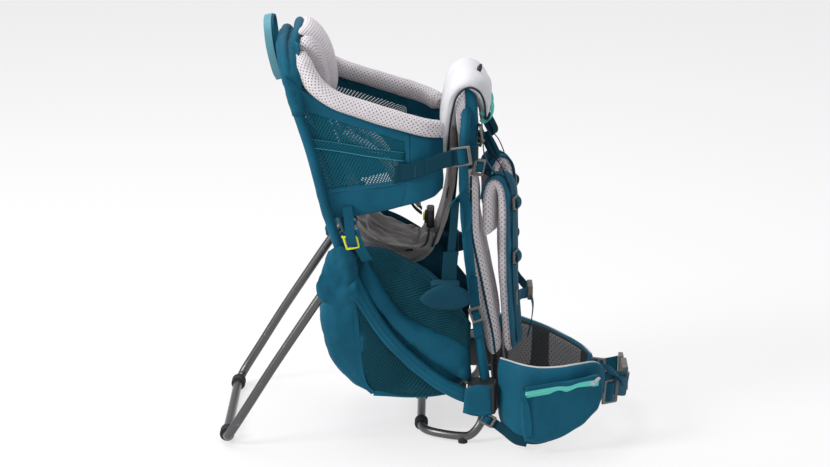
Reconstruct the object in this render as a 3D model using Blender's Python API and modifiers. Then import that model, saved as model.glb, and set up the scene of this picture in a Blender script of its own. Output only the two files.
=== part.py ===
"""Child carrier backpack: an aluminium frame that stands on a base loop and a folding kickstand,
with a padded child cockpit, a storage bag, a back panel, a shoulder harness and a hip belt.

Units are metres. +X is the way the wearer faces, +Y is the wearer's left and +Z is up. The ground is z = 0.
Every point below is written in design coordinates; the empty "carrier" moves the whole object along X
so that the origin is the middle of its footprint.
"""

import math

import bmesh
import bpy
from mathutils import Vector

# Driving dimensions
ORIGIN_X = 0.0205  # middle of the overall length, in design coordinates
MAIN_TUBE_R = 0.0070
STAY_TUBE_R = 0.0070
BASE_TUBE_R = 0.0075
KICK_TUBE_R = 0.0080
BASE_Z = 0.0120  # height of the base loop's centre line
GAP = 0.0004  # clearance between touching pieces
HINGE_X, HINGE_Z = -0.120, 0.333  # kickstand axle
HINGE_PIN_R = 0.0030
COCKPIT_Y = 0.133  # half width of the cockpit
BAG_HALF_WIDTH = 0.124
WEBBING = 0.0022  # thickness of all webbing
STRAP_YAW = math.radians(20)  # how far the shoulder straps splay

SIDES = (("right", -1.0), ("left", 1.0))

FINISHES = {
    "anodised_tube": ((0.10, 0.105, 0.11), 0.35, 0.85),
    "rubber": ((0.015, 0.015, 0.017), 0.75, 0.0),
    "hub_plastic": ((0.05, 0.055, 0.06), 0.5, 0.0),
    "teal_fabric": ((0.016, 0.115, 0.175), 0.85, 0.0),
    "dark_fabric": ((0.006, 0.045, 0.07), 0.9, 0.0),
    "grey_mesh": ((0.55, 0.52, 0.54), 0.9, 0.0),
    "light_fleece": ((0.72, 0.72, 0.73), 0.95, 0.0),
    "taupe_fabric": ((0.25, 0.23, 0.21), 0.9, 0.0),
    "mint_fabric": ((0.16, 0.55, 0.47), 0.8, 0.0),
    "buckle_plastic": ((0.16, 0.155, 0.145), 0.5, 0.0),
    "yellow_plastic": ((0.75, 0.72, 0.05), 0.45, 0.0),
    "zip_metal": ((0.5, 0.5, 0.5), 0.3, 0.9),
}

for leftover in list(bpy.data.objects):
    bpy.data.objects.remove(leftover, do_unlink=True)

carrier_parts = bpy.data.collections.new("child_carrier")
cutter_parts = bpy.data.collections.new("cutters")
for collection in (carrier_parts, cutter_parts):
    bpy.context.scene.collection.children.link(collection)
carrier = bpy.data.objects.new("carrier", None)
carrier.location = (-ORIGIN_X, 0, 0)
carrier_parts.objects.link(carrier)


def finish_material(finish):
    """The Principled material of one finish, made once."""
    found = bpy.data.materials.get(finish)
    if found:
        return found
    colour, roughness, metallic = FINISHES[finish]
    material = bpy.data.materials.new(finish)
    material.use_nodes = True
    shader = material.node_tree.nodes["Principled BSDF"]
    shader.inputs["Base Color"].default_value = (*colour, 1)
    shader.inputs["Roughness"].default_value = roughness
    shader.inputs["Metallic"].default_value = metallic
    return material


def add_part(name, data, finish):
    """A named node of the carrier."""
    part = bpy.data.objects.new(name, data)
    carrier_parts.objects.link(part)
    part.parent = carrier
    data.materials.append(finish_material(finish))
    return part


def add_cutter(name, data):
    """A helper that a Boolean uses; it stays out of renders."""
    cutter = bpy.data.objects.new(name, data)
    cutter_parts.objects.link(cutter)
    cutter.parent = carrier
    cutter.hide_render = True
    cutter.display_type = "WIRE"
    return cutter


def flip(point, side):
    """A point of the right-hand half, carried to the given side (-1 right, 1 left)."""
    x, y, z = point
    return (x, -y * side, z)


def smooth(points, spans=4):
    """Points on a Catmull-Rom curve through the given ones, with this many spans between each two."""
    ends = [Vector(p) for p in points]
    ends = [2 * ends[0] - ends[1], *ends, 2 * ends[-1] - ends[-2]]
    line = []
    for a, b, c, d in zip(ends, ends[1:], ends[2:], ends[3:]):
        for step in range(spans):
            t = step / spans
            square, cube = (2 * a - 5 * b + 4 * c - d) * t**2, (3 * b - a - 3 * c + d) * t**3
            line.append(0.5 * (2 * b + (c - a) * t + square + cube))
    return line + [ends[-2]]


def arc(centre, radius, start, end, steps):
    """Points (x, z) on an arc, with angles in degrees."""
    angles = [math.radians(start + (end - start) * i / steps) for i in range(steps + 1)]
    return [(centre[0] + radius * math.cos(a), centre[1] + radius * math.sin(a)) for a in angles]


def tube_curve(name, line, radius, resolution=2, cyclic=False):
    """A round tube along a line, as curve data."""
    curve = bpy.data.curves.new(name, "CURVE")
    curve.dimensions = "3D"
    curve.bevel_depth = radius
    curve.bevel_resolution = resolution
    curve.use_fill_caps = not cyclic
    spline = curve.splines.new("POLY")
    spline.points.add(len(line) - 1)
    spline.use_cyclic_u = cyclic
    spline.use_smooth = True
    for point, place in zip(spline.points, line):
        point.co = (*place, 1)
    return curve


def curve_to_mesh(curve_object):
    """The evaluated curve as a welded mesh in the carrier's coordinates; the curve object is removed."""
    bpy.context.view_layer.update()
    graph = bpy.context.evaluated_depsgraph_get()
    mesh = bpy.data.meshes.new_from_object(curve_object.evaluated_get(graph))
    mesh.transform(curve_object.matrix_local)
    shape = bmesh.new()
    shape.from_mesh(mesh)
    bmesh.ops.remove_doubles(shape, verts=shape.verts, dist=1e-6)
    bmesh.ops.recalc_face_normals(shape, faces=shape.faces)
    shape.to_mesh(mesh)
    shape.free()
    bpy.data.objects.remove(curve_object)
    return mesh


def tube_mesh(name, line, radius, resolution=2):
    """A welded mesh tube, for a piece that is cut or joined."""
    return curve_to_mesh(add_cutter(name + "_line", tube_curve(name, line, radius, resolution)))


def strip(name, low_rail, high_rail, thickness, finish, rows=1):
    """A sheet between two rails with a thickness given by Solidify."""
    mesh = bpy.data.meshes.new(name)
    shape = bmesh.new()
    columns = []
    for low, high in zip(low_rail, high_rail):
        low, high = Vector(low), Vector(high)
        columns.append([shape.verts.new(low.lerp(high, i / rows)) for i in range(rows + 1)])
    for left, right in zip(columns, columns[1:]):
        for i in range(rows):
            shape.faces.new((left[i], right[i], right[i + 1], left[i + 1]))
    shape.to_mesh(mesh)
    shape.free()
    part = add_part(name, mesh, finish)
    solidify = part.modifiers.new("wall", "SOLIDIFY")
    solidify.thickness = thickness
    solidify.offset = 0
    solidify.use_even_offset = True
    return part


def band(name, line, across, width, thickness, finish, rows=1):
    """A strap of constant width along a line; across is the direction of its width."""
    half = Vector(across).normalized() * width / 2
    low = [Vector(p) - half for p in line]
    high = [Vector(p) + half for p in line]
    return strip(name, low, high, thickness, finish, rows)


def slab(name, outline, half_depth, finish, edge=0.0, centre_y=0.0, edge_steps=1):
    """A flat outline in X and Z, given depth along Y, with rounded edges."""
    curve = bpy.data.curves.new(name, "CURVE")
    curve.dimensions = "2D"
    curve.fill_mode = "BOTH"
    curve.extrude = half_depth - edge
    curve.bevel_depth = edge
    curve.bevel_resolution = edge_steps
    curve.offset = -edge
    spline = curve.splines.new("POLY")
    spline.points.add(len(outline) - 1)
    spline.use_cyclic_u = True
    for point, (x, z) in zip(spline.points, outline):
        point.co = (x, z, 0, 1)
    part = add_part(name, curve, finish)
    part.rotation_euler = (math.pi / 2, 0, 0)
    part.location = (0, centre_y, 0)
    return part


def block(name, centre, size, finish, edge=0.0, turn=(0, 0, 0), cutter=False):
    """A box with bevelled edges."""
    mesh = bpy.data.meshes.new(name)
    shape = bmesh.new()
    bmesh.ops.create_cube(shape, size=1)
    bmesh.ops.scale(shape, vec=Vector(size), verts=shape.verts)
    shape.to_mesh(mesh)
    shape.free()
    part = add_cutter(name, mesh) if cutter else add_part(name, mesh, finish)
    part.location = centre
    part.rotation_euler = turn
    if edge:
        bevel = part.modifiers.new("edge", "BEVEL")
        bevel.width = edge
        bevel.segments = 2
    return part


def rod(name, centre, axis, radius, length, finish, sides=20, edge=0.0, cutter=False):
    """A cylinder along an axis."""
    mesh = bpy.data.meshes.new(name)
    shape = bmesh.new()
    bmesh.ops.create_cone(
        shape, cap_ends=True, segments=sides, radius1=radius, radius2=radius, depth=length
    )
    shape.to_mesh(mesh)
    shape.free()
    part = add_cutter(name, mesh) if cutter else add_part(name, mesh, finish)
    part.location = centre
    part.rotation_euler = Vector((0, 0, 1)).rotation_difference(Vector(axis)).to_euler()
    if edge:
        bevel = part.modifiers.new("edge", "BEVEL")
        bevel.width = edge
        bevel.limit_method = "ANGLE"
    return part


def cut(part, *cutters):
    """Takes the cutters away from a part."""
    for cutter in cutters:
        boolean = part.modifiers.new("cut_" + cutter.name, "BOOLEAN")
        boolean.operation = "DIFFERENCE"
        boolean.object = cutter
        boolean.solver = "EXACT"


def join(part, other):
    """Adds another shape to a part."""
    boolean = part.modifiers.new("join_" + other.name, "BOOLEAN")
    boolean.operation = "UNION"
    boolean.object = other
    boolean.solver = "EXACT"


# ---------------------------------------------------------------- frame tubes

MAIN_HALF = [  # from the lower hub up the right side to the middle of the top bar
    (0.108, -0.150, 0.079), (0.045, -0.150, 0.110), (-0.030, -0.150, 0.176), (-0.084, -0.150, 0.252),
    (-0.120, -0.147, 0.330), (-0.150, -0.146, 0.415), (-0.174, -0.144, 0.511), (-0.205, -0.137, 0.610),
    (-0.220, -0.118, 0.668), (-0.227, -0.072, 0.697), (-0.228, 0.0, 0.702),
]
STAY_HALF = [  # from the lower hub up to the middle of the yoke
    (0.127, -0.125, 0.096), (0.112, -0.125, 0.200), (0.094, -0.125, 0.345), (0.086, -0.122, 0.450),
    (0.086, -0.112, 0.530), (0.090, -0.088, 0.580), (0.092, -0.045, 0.597), (0.092, 0.0, 0.600),
]
BASE_HALF = [  # from the lower hub down to the ground and back to the middle of the rear bar
    (0.122, -0.140, 0.062), (0.117, -0.146, 0.034), (0.100, -0.153, 0.015), (0.080, -0.152, BASE_Z),
    (0.045, -0.138, BASE_Z), (0.022, -0.120, BASE_Z), (0.013, -0.096, BASE_Z), (0.012, -0.050, BASE_Z),
    (0.012, 0.0, BASE_Z),
]
KICK_HALF = [  # from the axle down to the foot bar's middle
    (HINGE_X, -0.174, HINGE_Z), (-0.157, -0.176, 0.282), (-0.205, -0.178, 0.210), (-0.250, -0.179, 0.141),
    (-0.289, -0.178, 0.078), (-0.319, -0.175, 0.030), (-0.329, -0.160, 0.0135), (-0.331, -0.120, 0.0130),
    (-0.331, 0.0, 0.0130),
]


def mirrored(half):
    """The whole line from its right half, whose last point lies on the middle plane."""
    return list(half) + [flip(p, 1) for p in reversed(half[:-1])]


MAIN_LINE = smooth(mirrored(MAIN_HALF), 3)
STAY_LINE = smooth(mirrored(STAY_HALF), 3)
BASE_LINE = smooth(mirrored(BASE_HALF), 3)
KICK_LINE = smooth(mirrored(KICK_HALF), 3)

add_part("main_frame_tube", tube_curve("main_frame_tube", MAIN_LINE, MAIN_TUBE_R), "anodised_tube")
add_part("back_stay_tube", tube_curve("back_stay_tube", STAY_LINE, STAY_TUBE_R), "anodised_tube")
add_part("base_frame_tube", tube_curve("base_frame_tube", BASE_LINE, BASE_TUBE_R, 3), "anodised_tube")


def longer(line, extra):
    """The line with both ends carried on by a little."""
    start = line[0] + (line[0] - line[1]).normalized() * extra
    end = line[-1] + (line[-1] - line[-2]).normalized() * extra
    return [start, *line[1:-1], end]


def tube_way(name, line, radius, resolution=2):
    """A cutter that leaves clearance all round a tube and past its ends."""
    return add_cutter(name, tube_mesh(name, longer(line, 0.001), radius + GAP, resolution))


tube_cutters = [
    tube_way("main_bore", MAIN_LINE, MAIN_TUBE_R),
    tube_way("stay_bore", STAY_LINE, STAY_TUBE_R),
    tube_way("base_bore", BASE_LINE, BASE_TUBE_R, 3),
]

HUB_SIZE = (0.050, 0.050, 0.056)
for side_name, side in SIDES:
    hub = block(f"lower_hub_{side_name}", flip((0.119, -0.138, 0.082), side), HUB_SIZE, "hub_plastic", 0.006)
    cut(hub, *tube_cutters)

# ------------------------------------------------------------------ kickstand

FORK_PLATE_Y, FORK_PLATE_T = 0.1600, 0.0080
EYE_Y, EYE_LENGTH, EYE_R = 0.1745, 0.0160, 0.0110
PIN_LENGTH, PIN_Y = 0.0240, 0.1720
for side_name, side in SIDES:
    plate = rod(
        f"hinge_block_{side_name}", (HINGE_X, side * FORK_PLATE_Y, HINGE_Z), (0, side, 0), 0.0200,
        FORK_PLATE_T, "hub_plastic", 24, 0.0015,
    )
    pin_bore = rod(
        f"pin_bore_{side_name}", (HINGE_X, side * (PIN_Y + 0.002), HINGE_Z), (0, 1, 0), HINGE_PIN_R + GAP,
        PIN_LENGTH + 0.0044, "hub_plastic", 16, cutter=True,
    )
    cut(plate, pin_bore)
    rod(
        f"hinge_pin_{side_name}", (HINGE_X, side * PIN_Y, HINGE_Z), (0, 1, 0), HINGE_PIN_R, PIN_LENGTH,
        "zip_metal", 16,
    )

kickstand_mesh = tube_mesh("kickstand_tube", KICK_LINE, KICK_TUBE_R, 3)
kickstand = add_part("kickstand_tube", kickstand_mesh, "anodised_tube")
for side_name, side in SIDES:
    eye_centre = (HINGE_X, side * EYE_Y, HINGE_Z)
    join(kickstand, rod(f"eye_{side_name}", eye_centre, (0, 1, 0), EYE_R, EYE_LENGTH, "", 20, cutter=True))
for side_name, side in SIDES:
    axle_way = rod(
        f"axle_way_{side_name}", (HINGE_X, side * EYE_Y, HINGE_Z), (0, 1, 0), HINGE_PIN_R + GAP, 0.030,
        "", 16, cutter=True,
    )
    cut(kickstand, axle_way)

KICK_FOOT_R, KICK_FOOT_LENGTH = 0.0130, 0.022
kick_bore = add_cutter("kick_bore", tube_mesh("kick_bore", KICK_LINE, KICK_TUBE_R + GAP, 3))
for side_name, side in SIDES:
    foot = rod(
        f"kickstand_foot_{side_name}", (-0.3305, side * 0.140, 0.0130), (0, 1, 0), KICK_FOOT_R,
        KICK_FOOT_LENGTH, "rubber", 20, 0.0010,
    )
    cut(foot, kick_bore)

# ------------------------------------------------------------------ base feet

REAR_FOOT_R, FRONT_FOOT_R = 0.0120, 0.0085
for side_name, side in SIDES:
    rear = rod(
        f"base_foot_rear_{side_name}", (0.0122, side * 0.080, BASE_Z), (0, 1, 0), REAR_FOOT_R, 0.018,
        "rubber", 20, 0.0010,
    )
    front = rod(
        f"base_foot_front_{side_name}", (0.086, side * 0.1530, 0.0060), (0, 0, 1), FRONT_FOOT_R, 0.0120,
        "rubber", 20, 0.0010,
    )
    cut(rear, tube_cutters[2])
    cut(front, tube_cutters[2])

# ---------------------------------------------------------------- storage bag

BAG_OUTLINE = smooth(
    [
        (-0.128, 0, 0.300), (-0.158, 0, 0.255), (-0.162, 0, 0.205), (-0.150, 0, 0.152), (-0.122, 0, 0.108),
        (-0.075, 0, 0.080), (-0.010, 0, 0.074), (0.055, 0, 0.078), (0.088, 0, 0.098), (0.094, 0, 0.145),
        (0.060, 0, 0.205), (0.000, 0, 0.255), (-0.070, 0, 0.285),
    ],
    2,
)
slab("storage_bag", [(p.x, p.z) for p in BAG_OUTLINE], BAG_HALF_WIDTH, "teal_fabric", 0.018, edge_steps=2)

BAG_WING = [  # upper side walls of the bag, in X and Z
    (-0.134, 0.296), (-0.128, 0.345), (-0.060, 0.350), (-0.006, 0.326), (0.030, 0.295), (0.070, 0.250),
    (0.096, 0.213), (0.096, 0.165), (0.062, 0.212), (0.002, 0.263), (-0.070, 0.292),
]
for side_name, side in SIDES:
    slab(f"bag_side_{side_name}", BAG_WING, 0.0025, "dark_fabric", centre_y=side * 0.1275)

# ------------------------------------------------------------------- cockpit

WALL_LOW = [
    (-0.130, -0.1330, 0.406), (-0.090, -0.1345, 0.409), (-0.040, -0.1345, 0.421), (0.010, -0.1330, 0.433),
    (0.036, -0.1240, 0.441), (0.048, -0.1020, 0.450),
]
WALL_HIGH = [
    (-0.172, -0.1280, 0.598), (-0.125, -0.1310, 0.583), (-0.062, -0.1320, 0.567), (-0.005, -0.1310, 0.552),
    (0.029, -0.1230, 0.543), (0.045, -0.1010, 0.536),
]
RIM_LINE = [
    (-0.178, -0.100, 0.668), (-0.172, -0.118, 0.640), (-0.150, -0.130, 0.617), (-0.100, -0.134, 0.600),
    (-0.042, -0.135, 0.583), (0.005, -0.132, 0.569), (0.030, -0.120, 0.561), (0.046, -0.098, 0.556),
]
for side_name, side in SIDES:
    low = smooth([flip(p, side) for p in WALL_LOW], 2)
    high = smooth([flip(p, side) for p in WALL_HIGH], 2)
    strip(f"cockpit_side_{side_name}", low, high, 0.004, "teal_fabric", 2)
    rim_line = smooth([flip(p, side) for p in RIM_LINE], 3)
    add_part(f"rim_pad_{side_name}", tube_curve("rim_pad", rim_line, 0.0155), "grey_mesh")

HEADREST_PROFILE = [
    (-0.182, 0.570), (-0.1965, 0.601), (-0.2045, 0.650), (-0.2062, 0.712), (-0.190, 0.716), (-0.173, 0.704),
    (-0.160, 0.683), (-0.153, 0.660), (-0.150, 0.628), (-0.156, 0.598),
]
slab("headrest_pad", HEADREST_PROFILE, 0.080, "grey_mesh", 0.010, edge_steps=2)
SHELL_LINE = [(-0.184, 0, 0.560), (-0.202, 0, 0.600), (-0.2095, 0, 0.650), (-0.2110, 0, 0.712)]
band("headrest_shell", smooth(SHELL_LINE, 2), (0, 1, 0), 0.196, 0.006, "teal_fabric")
BACK_LINE = [(-0.118, 0, 0.372), (-0.134, 0, 0.430), (-0.152, 0, 0.500), (-0.176, 0, 0.551)]
band("seat_back", smooth(BACK_LINE, 2), (0, 1, 0), 0.244, 0.010, "teal_fabric")

GRAB_HALF = [
    (-0.2415, -0.050, 0.650), (-0.252, -0.048, 0.690), (-0.256, -0.034, 0.722), (-0.257, 0.0, 0.733),
]
grab_line = smooth(mirrored(GRAB_HALF), 3)
band("grab_loop", grab_line, (1, 0, 0.25), 0.018, 0.0035, "mint_fabric")

# ---------------------------------------------------------------- back panel

FRONT_PANEL_LINE = [
    (0.040, 0, 0.330), (0.062, 0, 0.400), (0.072, 0, 0.470), (0.0755, 0, 0.530), (0.0765, 0, 0.574),
]
band("front_panel", smooth(FRONT_PANEL_LINE, 2), (0, 1, 0), 0.150, 0.010, "taupe_fabric")
TOP_PANEL_LINE = [(0.1015, 0, 0.475), (0.1045, 0, 0.530), (0.1065, 0, 0.600)]
band("back_top_panel", smooth(TOP_PANEL_LINE, 2), (0, 1, 0), 0.150, 0.010, "teal_fabric")
PAD_LINE = [
    (0.099, -0.088, 0.462), (0.099, -0.088, 0.413), (0.102, -0.088, 0.365), (0.116, -0.088, 0.300),
    (0.127, -0.088, 0.245), (0.139, -0.088, 0.188), (0.143, -0.088, 0.158),
]
for side_name, side in SIDES:
    line = smooth([flip(p, side) for p in PAD_LINE], 2)
    band(f"back_pad_{side_name}", line, (0, 1, 0), 0.046, 0.020, "grey_mesh")
LUMBAR_LINE = [(0.146, -0.108, 0), (0.148, -0.050, 0), (0.148, 0.050, 0), (0.146, 0.108, 0)]
lumbar_low = [p + Vector((0, 0, 0.035)) for p in smooth(LUMBAR_LINE, 2)]
lumbar_high = [p + Vector((0, 0, 0.148)) for p in smooth(LUMBAR_LINE, 2)]
strip("lumbar_pad", lumbar_low, lumbar_high, 0.012, "dark_fabric")

CHIN_PROFILE = [
    (0.0565, 0, 0.500), (0.0600, 0, 0.550), (0.0655, 0, 0.595), (0.0750, 0, 0.617), (0.0920, 0, 0.6290),
    (0.1080, 0, 0.625), (0.1195, 0, 0.608), (0.1225, 0, 0.580),
]
band("chin_pad", smooth(CHIN_PROFILE, 2), (0, 1, 0), 0.176, 0.014, "light_fleece", 4)

# -------------------------------------------- compression straps and hooks

COMPRESSION_LINE = [
    (-0.027, -0.1395, 0.487), (0.014, -0.150, 0.498), (0.045, -0.1515, 0.511), (0.062, -0.1515, 0.516),
]
for side_name, side in SIDES:
    line = smooth([flip(p, side) for p in COMPRESSION_LINE], 2)
    band(f"compression_strap_{side_name}", line, (0, 0, 1), 0.028, WEBBING, "teal_fabric")
    buckle = block(
        f"compression_buckle_{side_name}", flip((0.0815, -0.150, 0.519), side), (0.033, 0.007, 0.034),
        "buckle_plastic", 0.0015,
    )
    slots = [
        block(
            f"lock_slot_{side_name}_{number}", flip((0.0815 + offset, -0.150, 0.519), side),
            (0.0080, 0.020, 0.026), "", cutter=True,
        )
        for number, offset in enumerate((-0.0075, 0.0075))
    ]
    cut(buckle, *slots)
    hook_path = [(-0.1185, 0.3790), *arc((-0.1105, 0.3680), 0.0080, 180, 270, 3)]
    hook_path += [*arc((-0.1045, 0.3680), 0.0080, 270, 360, 3), (-0.0965, 0.3790)]
    hook_line = [(x, side * 0.170, z) for x, z in hook_path]
    add_part(f"side_hook_{side_name}", tube_curve("side_hook", hook_line, 0.0020, 2, True), "yellow_plastic")

# -------------------------------------------------------------------- hip belt

FIN_LOW_RIGHT = [
    (0.153, -0.1290, 0.045), (0.163, -0.157, 0.024), (0.185, -0.180, 0.014), (0.215, -0.190, 0.012),
    (0.250, -0.191, 0.024), (0.285, -0.183, 0.042), (0.312, -0.168, 0.062), (0.328, -0.150, 0.084),
]
FIN_HIGH_RIGHT = [
    (0.154, -0.1280, 0.148), (0.165, -0.156, 0.152), (0.187, -0.178, 0.152), (0.217, -0.188, 0.150),
    (0.252, -0.190, 0.152), (0.287, -0.182, 0.155), (0.315, -0.166, 0.153), (0.331, -0.148, 0.138),
]
FIN_LOW_LEFT = [
    (0.153, 0.1300, 0.045), (0.163, 0.142, 0.024), (0.185, 0.146, 0.012), (0.215, 0.146, 0.010),
    (0.250, 0.142, 0.010), (0.285, 0.130, 0.012), (0.308, 0.115, 0.018), (0.322, 0.098, 0.030),
]
FIN_HIGH_LEFT = [
    (0.154, 0.1300, 0.148), (0.165, 0.160, 0.141), (0.187, 0.195, 0.127), (0.217, 0.2115, 0.112),
    (0.252, 0.2105, 0.098), (0.287, 0.188, 0.086), (0.312, 0.160, 0.078), (0.326, 0.134, 0.072),
]
FIN_THICKNESS = 0.014
for side_name, low, high in (
    ("right", FIN_LOW_RIGHT, FIN_HIGH_RIGHT),
    ("left", FIN_LOW_LEFT, FIN_HIGH_LEFT),
):
    strip(f"hip_fin_{side_name}", smooth(low, 2), smooth(high, 2), FIN_THICKNESS, "teal_fabric", 2)

POCKET_LEAN = math.radians(9)
pocket = block(
    "hip_pocket", (0.255, -0.2040, 0.092), (0.124, 0.012, 0.088), "teal_fabric", 0.004, (0, 0, POCKET_LEAN)
)
ZIP_START = Vector((0.310, -0.2035, 0.128))
block("zip_slider", ZIP_START, (0.010, 0.004, 0.007), "zip_metal", 0.001, (0, 0, POCKET_LEAN))

WEBBING_RIGHT = [
    (0.337, -0.140, 0.112), (0.356, -0.112, 0.101), (0.374, -0.070, 0.088), (0.379, -0.022, 0.078),
]
WEBBING_LEFT = [(0.333, 0.113, 0.052), (0.352, 0.103, 0.057), (0.366, 0.092, 0.062)]
band("waist_webbing_right", smooth(WEBBING_RIGHT, 3), (0, 0, 1), 0.038, WEBBING, "teal_fabric")
band("waist_webbing_left", smooth(WEBBING_LEFT, 3), (0, 0, 1), 0.034, WEBBING, "teal_fabric")

socket = block("waist_buckle_socket", (0.379, 0.0085, 0.075), (0.011, 0.058, 0.044), "buckle_plastic", 0.002)
socket_mouth = block("socket_mouth", (0.379, 0.024, 0.075), (0.006, 0.040, 0.034), "", cutter=True)
cut(socket, socket_mouth)
PLUG_X, PLUG_Y, PLUG_Z = 0.377, 0.066, 0.070
plug_centre = (PLUG_X, PLUG_Y + 0.009, PLUG_Z)
plug = block("waist_buckle_plug", plug_centre, (0.009, 0.026, 0.042), "buckle_plastic", 0.002)
for number, offset in enumerate((-0.014, 0.0, 0.014)):
    prong_centre = (PLUG_X, PLUG_Y - 0.012, PLUG_Z + offset)
    join(plug, block(f"prong_{number}", prong_centre, (0.004, 0.032, 0.006), "", cutter=True))

# ------------------------------------------------------------ shoulder harness

STRAP_EDGE = [  # the strap's outer edge, in X and Z
    (0.1240, 0.372), (0.1245, 0.425), (0.1275, 0.448), (0.1375, 0.4585), (0.1475, 0.448), (0.1515, 0.420),
    (0.1530, 0.350), (0.1545, 0.280), (0.1610, 0.190), (0.1650, 0.155),
]
STRAP_WIDTH, STRAP_THICKNESS = 0.056, 0.018
STRAP_EDGE_Y = 0.106
for side_name, side in SIDES:
    across = Vector((math.sin(STRAP_YAW), -side * math.cos(STRAP_YAW), 0))
    outer = smooth([(x, side * STRAP_EDGE_Y, z) for x, z in STRAP_EDGE], 2)
    inner = [p + across * STRAP_WIDTH for p in outer]
    strip(f"shoulder_strap_{side_name}", outer, inner, STRAP_THICKNESS, "grey_mesh", 1)
block("harness_yoke", (0.1420, 0, 0.398), (0.012, 0.094, 0.052), "teal_fabric", 0.003)

STERNUM_Z = 0.246
STERNUM_HALF = [
    (0.1835, -0.070, STERNUM_Z), (0.1900, -0.045, STERNUM_Z - 0.004), (0.1960, -0.027, STERNUM_Z - 0.008),
]
sternum_line = smooth([*STERNUM_HALF, *[flip(p, 1) for p in reversed(STERNUM_HALF)]], 2)
band("sternum_strap", sternum_line, (0, 0, 1), 0.019, WEBBING, "teal_fabric")
block("sternum_buckle", (0.2060, 0, STERNUM_Z - 0.010), (0.010, 0.044, 0.026), "buckle_plastic", 0.002)

# -------------------------------------------------------------------- footrests

FOOT_HANG_X, FOOT_HANG_TOP, FOOT_HANG_LOW = 0.063, 0.455, 0.300
FOOT_X, FOOT_Y, FOOT_Z = 0.0540, 0.1680, 0.268
FOOT_SIZE = (0.086, 0.038, 0.058)
FOOT_WAY = (0.120, 0.026, 0.042)
for side_name, side in SIDES:
    strap_line = [flip((FOOT_HANG_X, -0.1445, z), side) for z in (FOOT_HANG_TOP, FOOT_HANG_LOW)]
    band(f"footrest_webbing_{side_name}", strap_line, (1, 0, 0), 0.022, WEBBING, "teal_fabric")
    ring_centre = flip((FOOT_X, -FOOT_Y, FOOT_Z), side)
    stirrup = block(f"footrest_{side_name}", ring_centre, FOOT_SIZE, "teal_fabric", 0.008)
    cut(stirrup, block(f"foot_way_{side_name}", ring_centre, FOOT_WAY, "", 0.006, cutter=True))

# ------------------------------------------------------------------- child seat

SEAT_LINE = [
    (-0.104, 0, 0.372), (-0.088, 0, 0.335), (-0.050, 0, 0.311), (-0.010, 0, 0.303), (0.016, 0, 0.315),
    (0.024, 0, 0.345),
]
band("child_seat", smooth(SEAT_LINE, 3), (0, 1, 0), 0.120, 0.008, "taupe_fabric")
HARNESS_HALF = [
    (-0.150, -0.046, 0.548), (-0.110, -0.048, 0.528), (-0.065, -0.046, 0.500), (-0.040, -0.042, 0.462),
    (-0.018, -0.034, 0.424), (-0.001, -0.024, 0.396), (0.006, -0.0145, 0.380),
]
harness_half_line = smooth(HARNESS_HALF, 2)
harness_line = harness_half_line + [Vector(flip(p, 1)) for p in reversed(harness_half_line)]
band("child_harness", harness_line, (1, 0, 1), 0.018, WEBBING, "dark_fabric")
buckle_body = block("harness_buckle", (0.026, 0, 0.372), (0.016, 0.040, 0.034), "buckle_plastic", 0.003)
button_well = rod("button_well", (0.018, 0, 0.372), (1, 0, 0), 0.0080, 0.014, "", 20, cutter=True)
cut(buckle_body, button_well)
rod("harness_button", (0.0185, 0, 0.372), (1, 0, 0), 0.0074, 0.007, "yellow_plastic", 20, 0.0008)

# ---------------------------------------------------------------- moving groups


def hang_on(name, place, *part_names):
    """An empty on a joint's axis, which carries the parts that move with that joint."""
    pivot = bpy.data.objects.new(name, None)
    carrier_parts.objects.link(pivot)
    pivot.parent = carrier
    pivot.location = place
    for part_name in part_names:
        part = bpy.data.objects[part_name]
        part.parent = pivot
        part.location = part.location - pivot.location


hang_on(
    "kickstand_axle", (HINGE_X, 0, HINGE_Z), "kickstand_tube", "kickstand_foot_right", "kickstand_foot_left",
)
HIP_PIVOT_X, HIP_PIVOT_Y, HIP_PIVOT_Z = 0.152, 0.150, 0.090
hang_on(
    "hip_pivot_right", (HIP_PIVOT_X, -HIP_PIVOT_Y, HIP_PIVOT_Z),
    "hip_fin_right", "hip_pocket", "waist_webbing_right", "waist_buckle_socket",
)
hang_on(
    "hip_pivot_left", (HIP_PIVOT_X, HIP_PIVOT_Y, HIP_PIVOT_Z),
    "hip_fin_left", "waist_webbing_left", "waist_buckle_plug",
)
hang_on("back_length_rail", (0.142, 0, 0.398), "harness_yoke", "shoulder_strap_right", "shoulder_strap_left")
hang_on("sternum_rail", (0.206, 0, STERNUM_Z), "sternum_strap", "sternum_buckle")
hang_on("chin_pad_rail", (0.092, 0, 0.600), "chin_pad")
hang_on("seat_rail", (-0.040, 0, 0.340), "child_seat", "child_harness", "harness_buckle")
for side_name, side in SIDES:
    hang_on(f"footrest_rail_{side_name}", flip((FOOT_X, -FOOT_Y, FOOT_Z), side), f"footrest_{side_name}")
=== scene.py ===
"""The looks of the child carrier backpack: its fabric, webbing, padding, buckles, tubes and rubber, made
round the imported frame. Lengths are metres. Every shape is written in design coordinates, in which the lower
hubs stand at x = 0.119, and is carried to the frame's own origin when it is dressed.
"""

import math

import bmesh
import bpy
import numpy as np
from mathutils import Matrix, Vector, noise


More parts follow.
